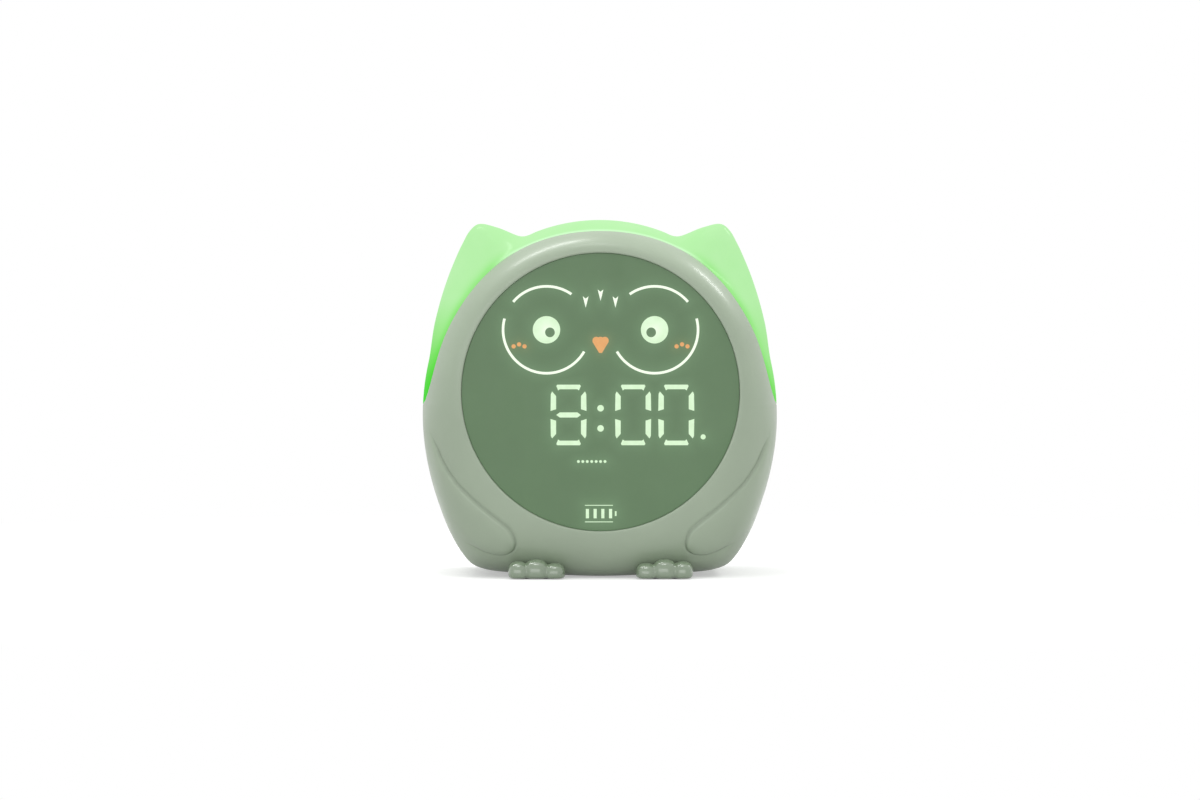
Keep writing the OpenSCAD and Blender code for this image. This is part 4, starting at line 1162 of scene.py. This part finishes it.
# ---- Studio ----
FLOOR_R = 6.0
FADE_FROM, FADE_TO = 0.16, 0.42         # metres from the clock over which the floor turns plain white
FLOOR_GREY, FLOOR_LIFT = 0.68, 0.42     # where it is seen: its colour, and the light that it gives off
BOUNCE_GREY = 0.57                      # its colour for the light that it throws back on the clock
REFLECTED = 0.6                         # how much of the seen floor shows in glossy reflections


def straight_view(nodes, glossy=1.0):
    """1 for camera and transmission rays, which show the background, and a share for glossy rays."""
    path = nodes.node("ShaderNodeLightPath").outputs
    reflected = nodes.math("MULTIPLY", path["Is Glossy Ray"], glossy)
    straight = nodes.math("MAXIMUM", path["Is Camera Ray"], path["Is Transmission Ray"])
    return nodes.math("MAXIMUM", straight, reflected)


def floor():
    """Pale floor that keeps the clock's shadow and runs into a white background."""
    rim = [(x, y, 0) for x, y in circle_outline(FLOOR_R, sides=64)]
    mesh = bpy.data.meshes.new("floor")
    mesh.from_pydata(rim, [], [tuple(range(len(rim)))])
    obj = bpy.data.objects.new("floor", mesh)
    bpy.context.scene.collection.objects.link(obj)

    material = bpy.data.materials.new("floor")
    nodes = Nodes(material)
    nodes.tree.nodes.clear()
    place = nodes.node("ShaderNodeTexCoord").outputs["Object"]
    away = nodes.node("ShaderNodeVectorMath", place, operation="LENGTH").outputs["Value"]
    fade = nodes.spread(away, FADE_FROM, FADE_TO, interpolation_type="SMOOTHSTEP")
    grey, bounce = (nodes.result("ShaderNodeBsdfDiffuse", (k, k, k, 1)) for k in (FLOOR_GREY, BOUNCE_GREY))
    lift, white = (nodes.result("ShaderNodeEmission", WHITE, k) for k in (FLOOR_LIFT, 1.0))
    near = nodes.result("ShaderNodeAddShader", grey, lift)
    seen = nodes.result("ShaderNodeMixShader", fade, near, white)
    surface = nodes.result("ShaderNodeMixShader", straight_view(nodes, REFLECTED), bounce, seen)
    nodes.node("ShaderNodeOutputMaterial", surface)
    mesh.materials.append(material)


def world_light(strength):
    """White where it is seen, and a plain even light on everything else."""
    world = bpy.data.worlds.new("studio")
    bpy.context.scene.world = world
    nodes = Nodes(world)
    nodes.tree.nodes.clear()
    light, white = (nodes.result("ShaderNodeBackground", WHITE, k) for k in (strength, 1.0))
    mixed = nodes.result("ShaderNodeMixShader", straight_view(nodes), light, white)
    nodes.node("ShaderNodeOutputWorld", mixed)


TARGET = (0.0, 0.0, 0.061)
CAMERA_DISTANCE, FOCAL = 2.5, 211.08
CAMERA_AZIMUTH, CAMERA_ELEVATION = -0.6, 2.0


def softbox(name, place, width, height, power):
    """Rectangular lamp that faces the clock, with its width level and along X."""
    data = bpy.data.lights.new(name, "AREA")
    data.shape = "RECTANGLE"
    data.size, data.size_y = width, height
    data.energy = power
    obj = bpy.data.objects.new(name, data)
    back = (Vector(place) - Vector(TARGET)).normalized()
    side = (Vector((1, 0, 0)) - back * back.x).normalized()
    turned = Matrix((side, back.cross(side), back)).transposed()
    obj.matrix_world = Matrix.Translation(place) @ turned.to_4x4()
    bpy.context.scene.collection.objects.link(obj)


def camera():
    """Long lens from almost straight ahead and slightly above."""
    data = bpy.data.cameras.new("camera")
    data.lens = FOCAL
    data.sensor_width = 36
    data.shift_x, data.shift_y = 0.0005, 0.0009
    data.clip_start, data.clip_end = 0.01, 50
    obj = bpy.data.objects.new("camera", data)
    level = cosd(CAMERA_ELEVATION)
    back = Vector((sind(CAMERA_AZIMUTH) * level, -cosd(CAMERA_AZIMUTH) * level, sind(CAMERA_ELEVATION)))
    obj.location = Vector(TARGET) + back * CAMERA_DISTANCE
    obj.rotation_euler = (-back).to_track_quat("-Z", "Y").to_euler()
    bpy.context.scene.collection.objects.link(obj)
    bpy.context.scene.camera = obj


def studio():
    """Floor, world, lamps and plain colour handling."""
    floor()
    world_light(0.85)
    softbox("top", (0.0, -0.3, 1.9), 1.2, 1.0, 0.7)
    softbox("top_left", (-0.34, 0.0, 0.98), 0.5, 0.12, 3.3)
    softbox("top_right", (0.71, 0.16, 0.75), 0.26, 0.12, 2.1)
    softbox("front", (-0.4, -2.0, 0.15), 2.0, 1.3, 8.8)
    softbox("front_high", (-0.05, -0.62, 1.4), 0.36, 0.2, 1.2)
    bpy.context.scene.view_settings.view_transform = "Standard"


# ---- Make ----
camera()
studio()
looks = make_looks()
dress_cad_nodes(looks)
dress(front_shell(), "sage_body", looks)
dress(night_light_hood(), "hood_plastic", looks)
for shell_piece in rear_shell():
    dress(shell_piece, "sage_body", looks)
dress(display_lens(), "lens_plastic", looks)
dress(foot("right_foot_toes", "right_foot", 1), "foot_plastic", looks)
dress(foot("left_foot_toes", "left_foot", -1), "foot_plastic", looks)
for slot_name, group in case_details().items():
    for piece in group:
        dress(piece, slot_name, looks)
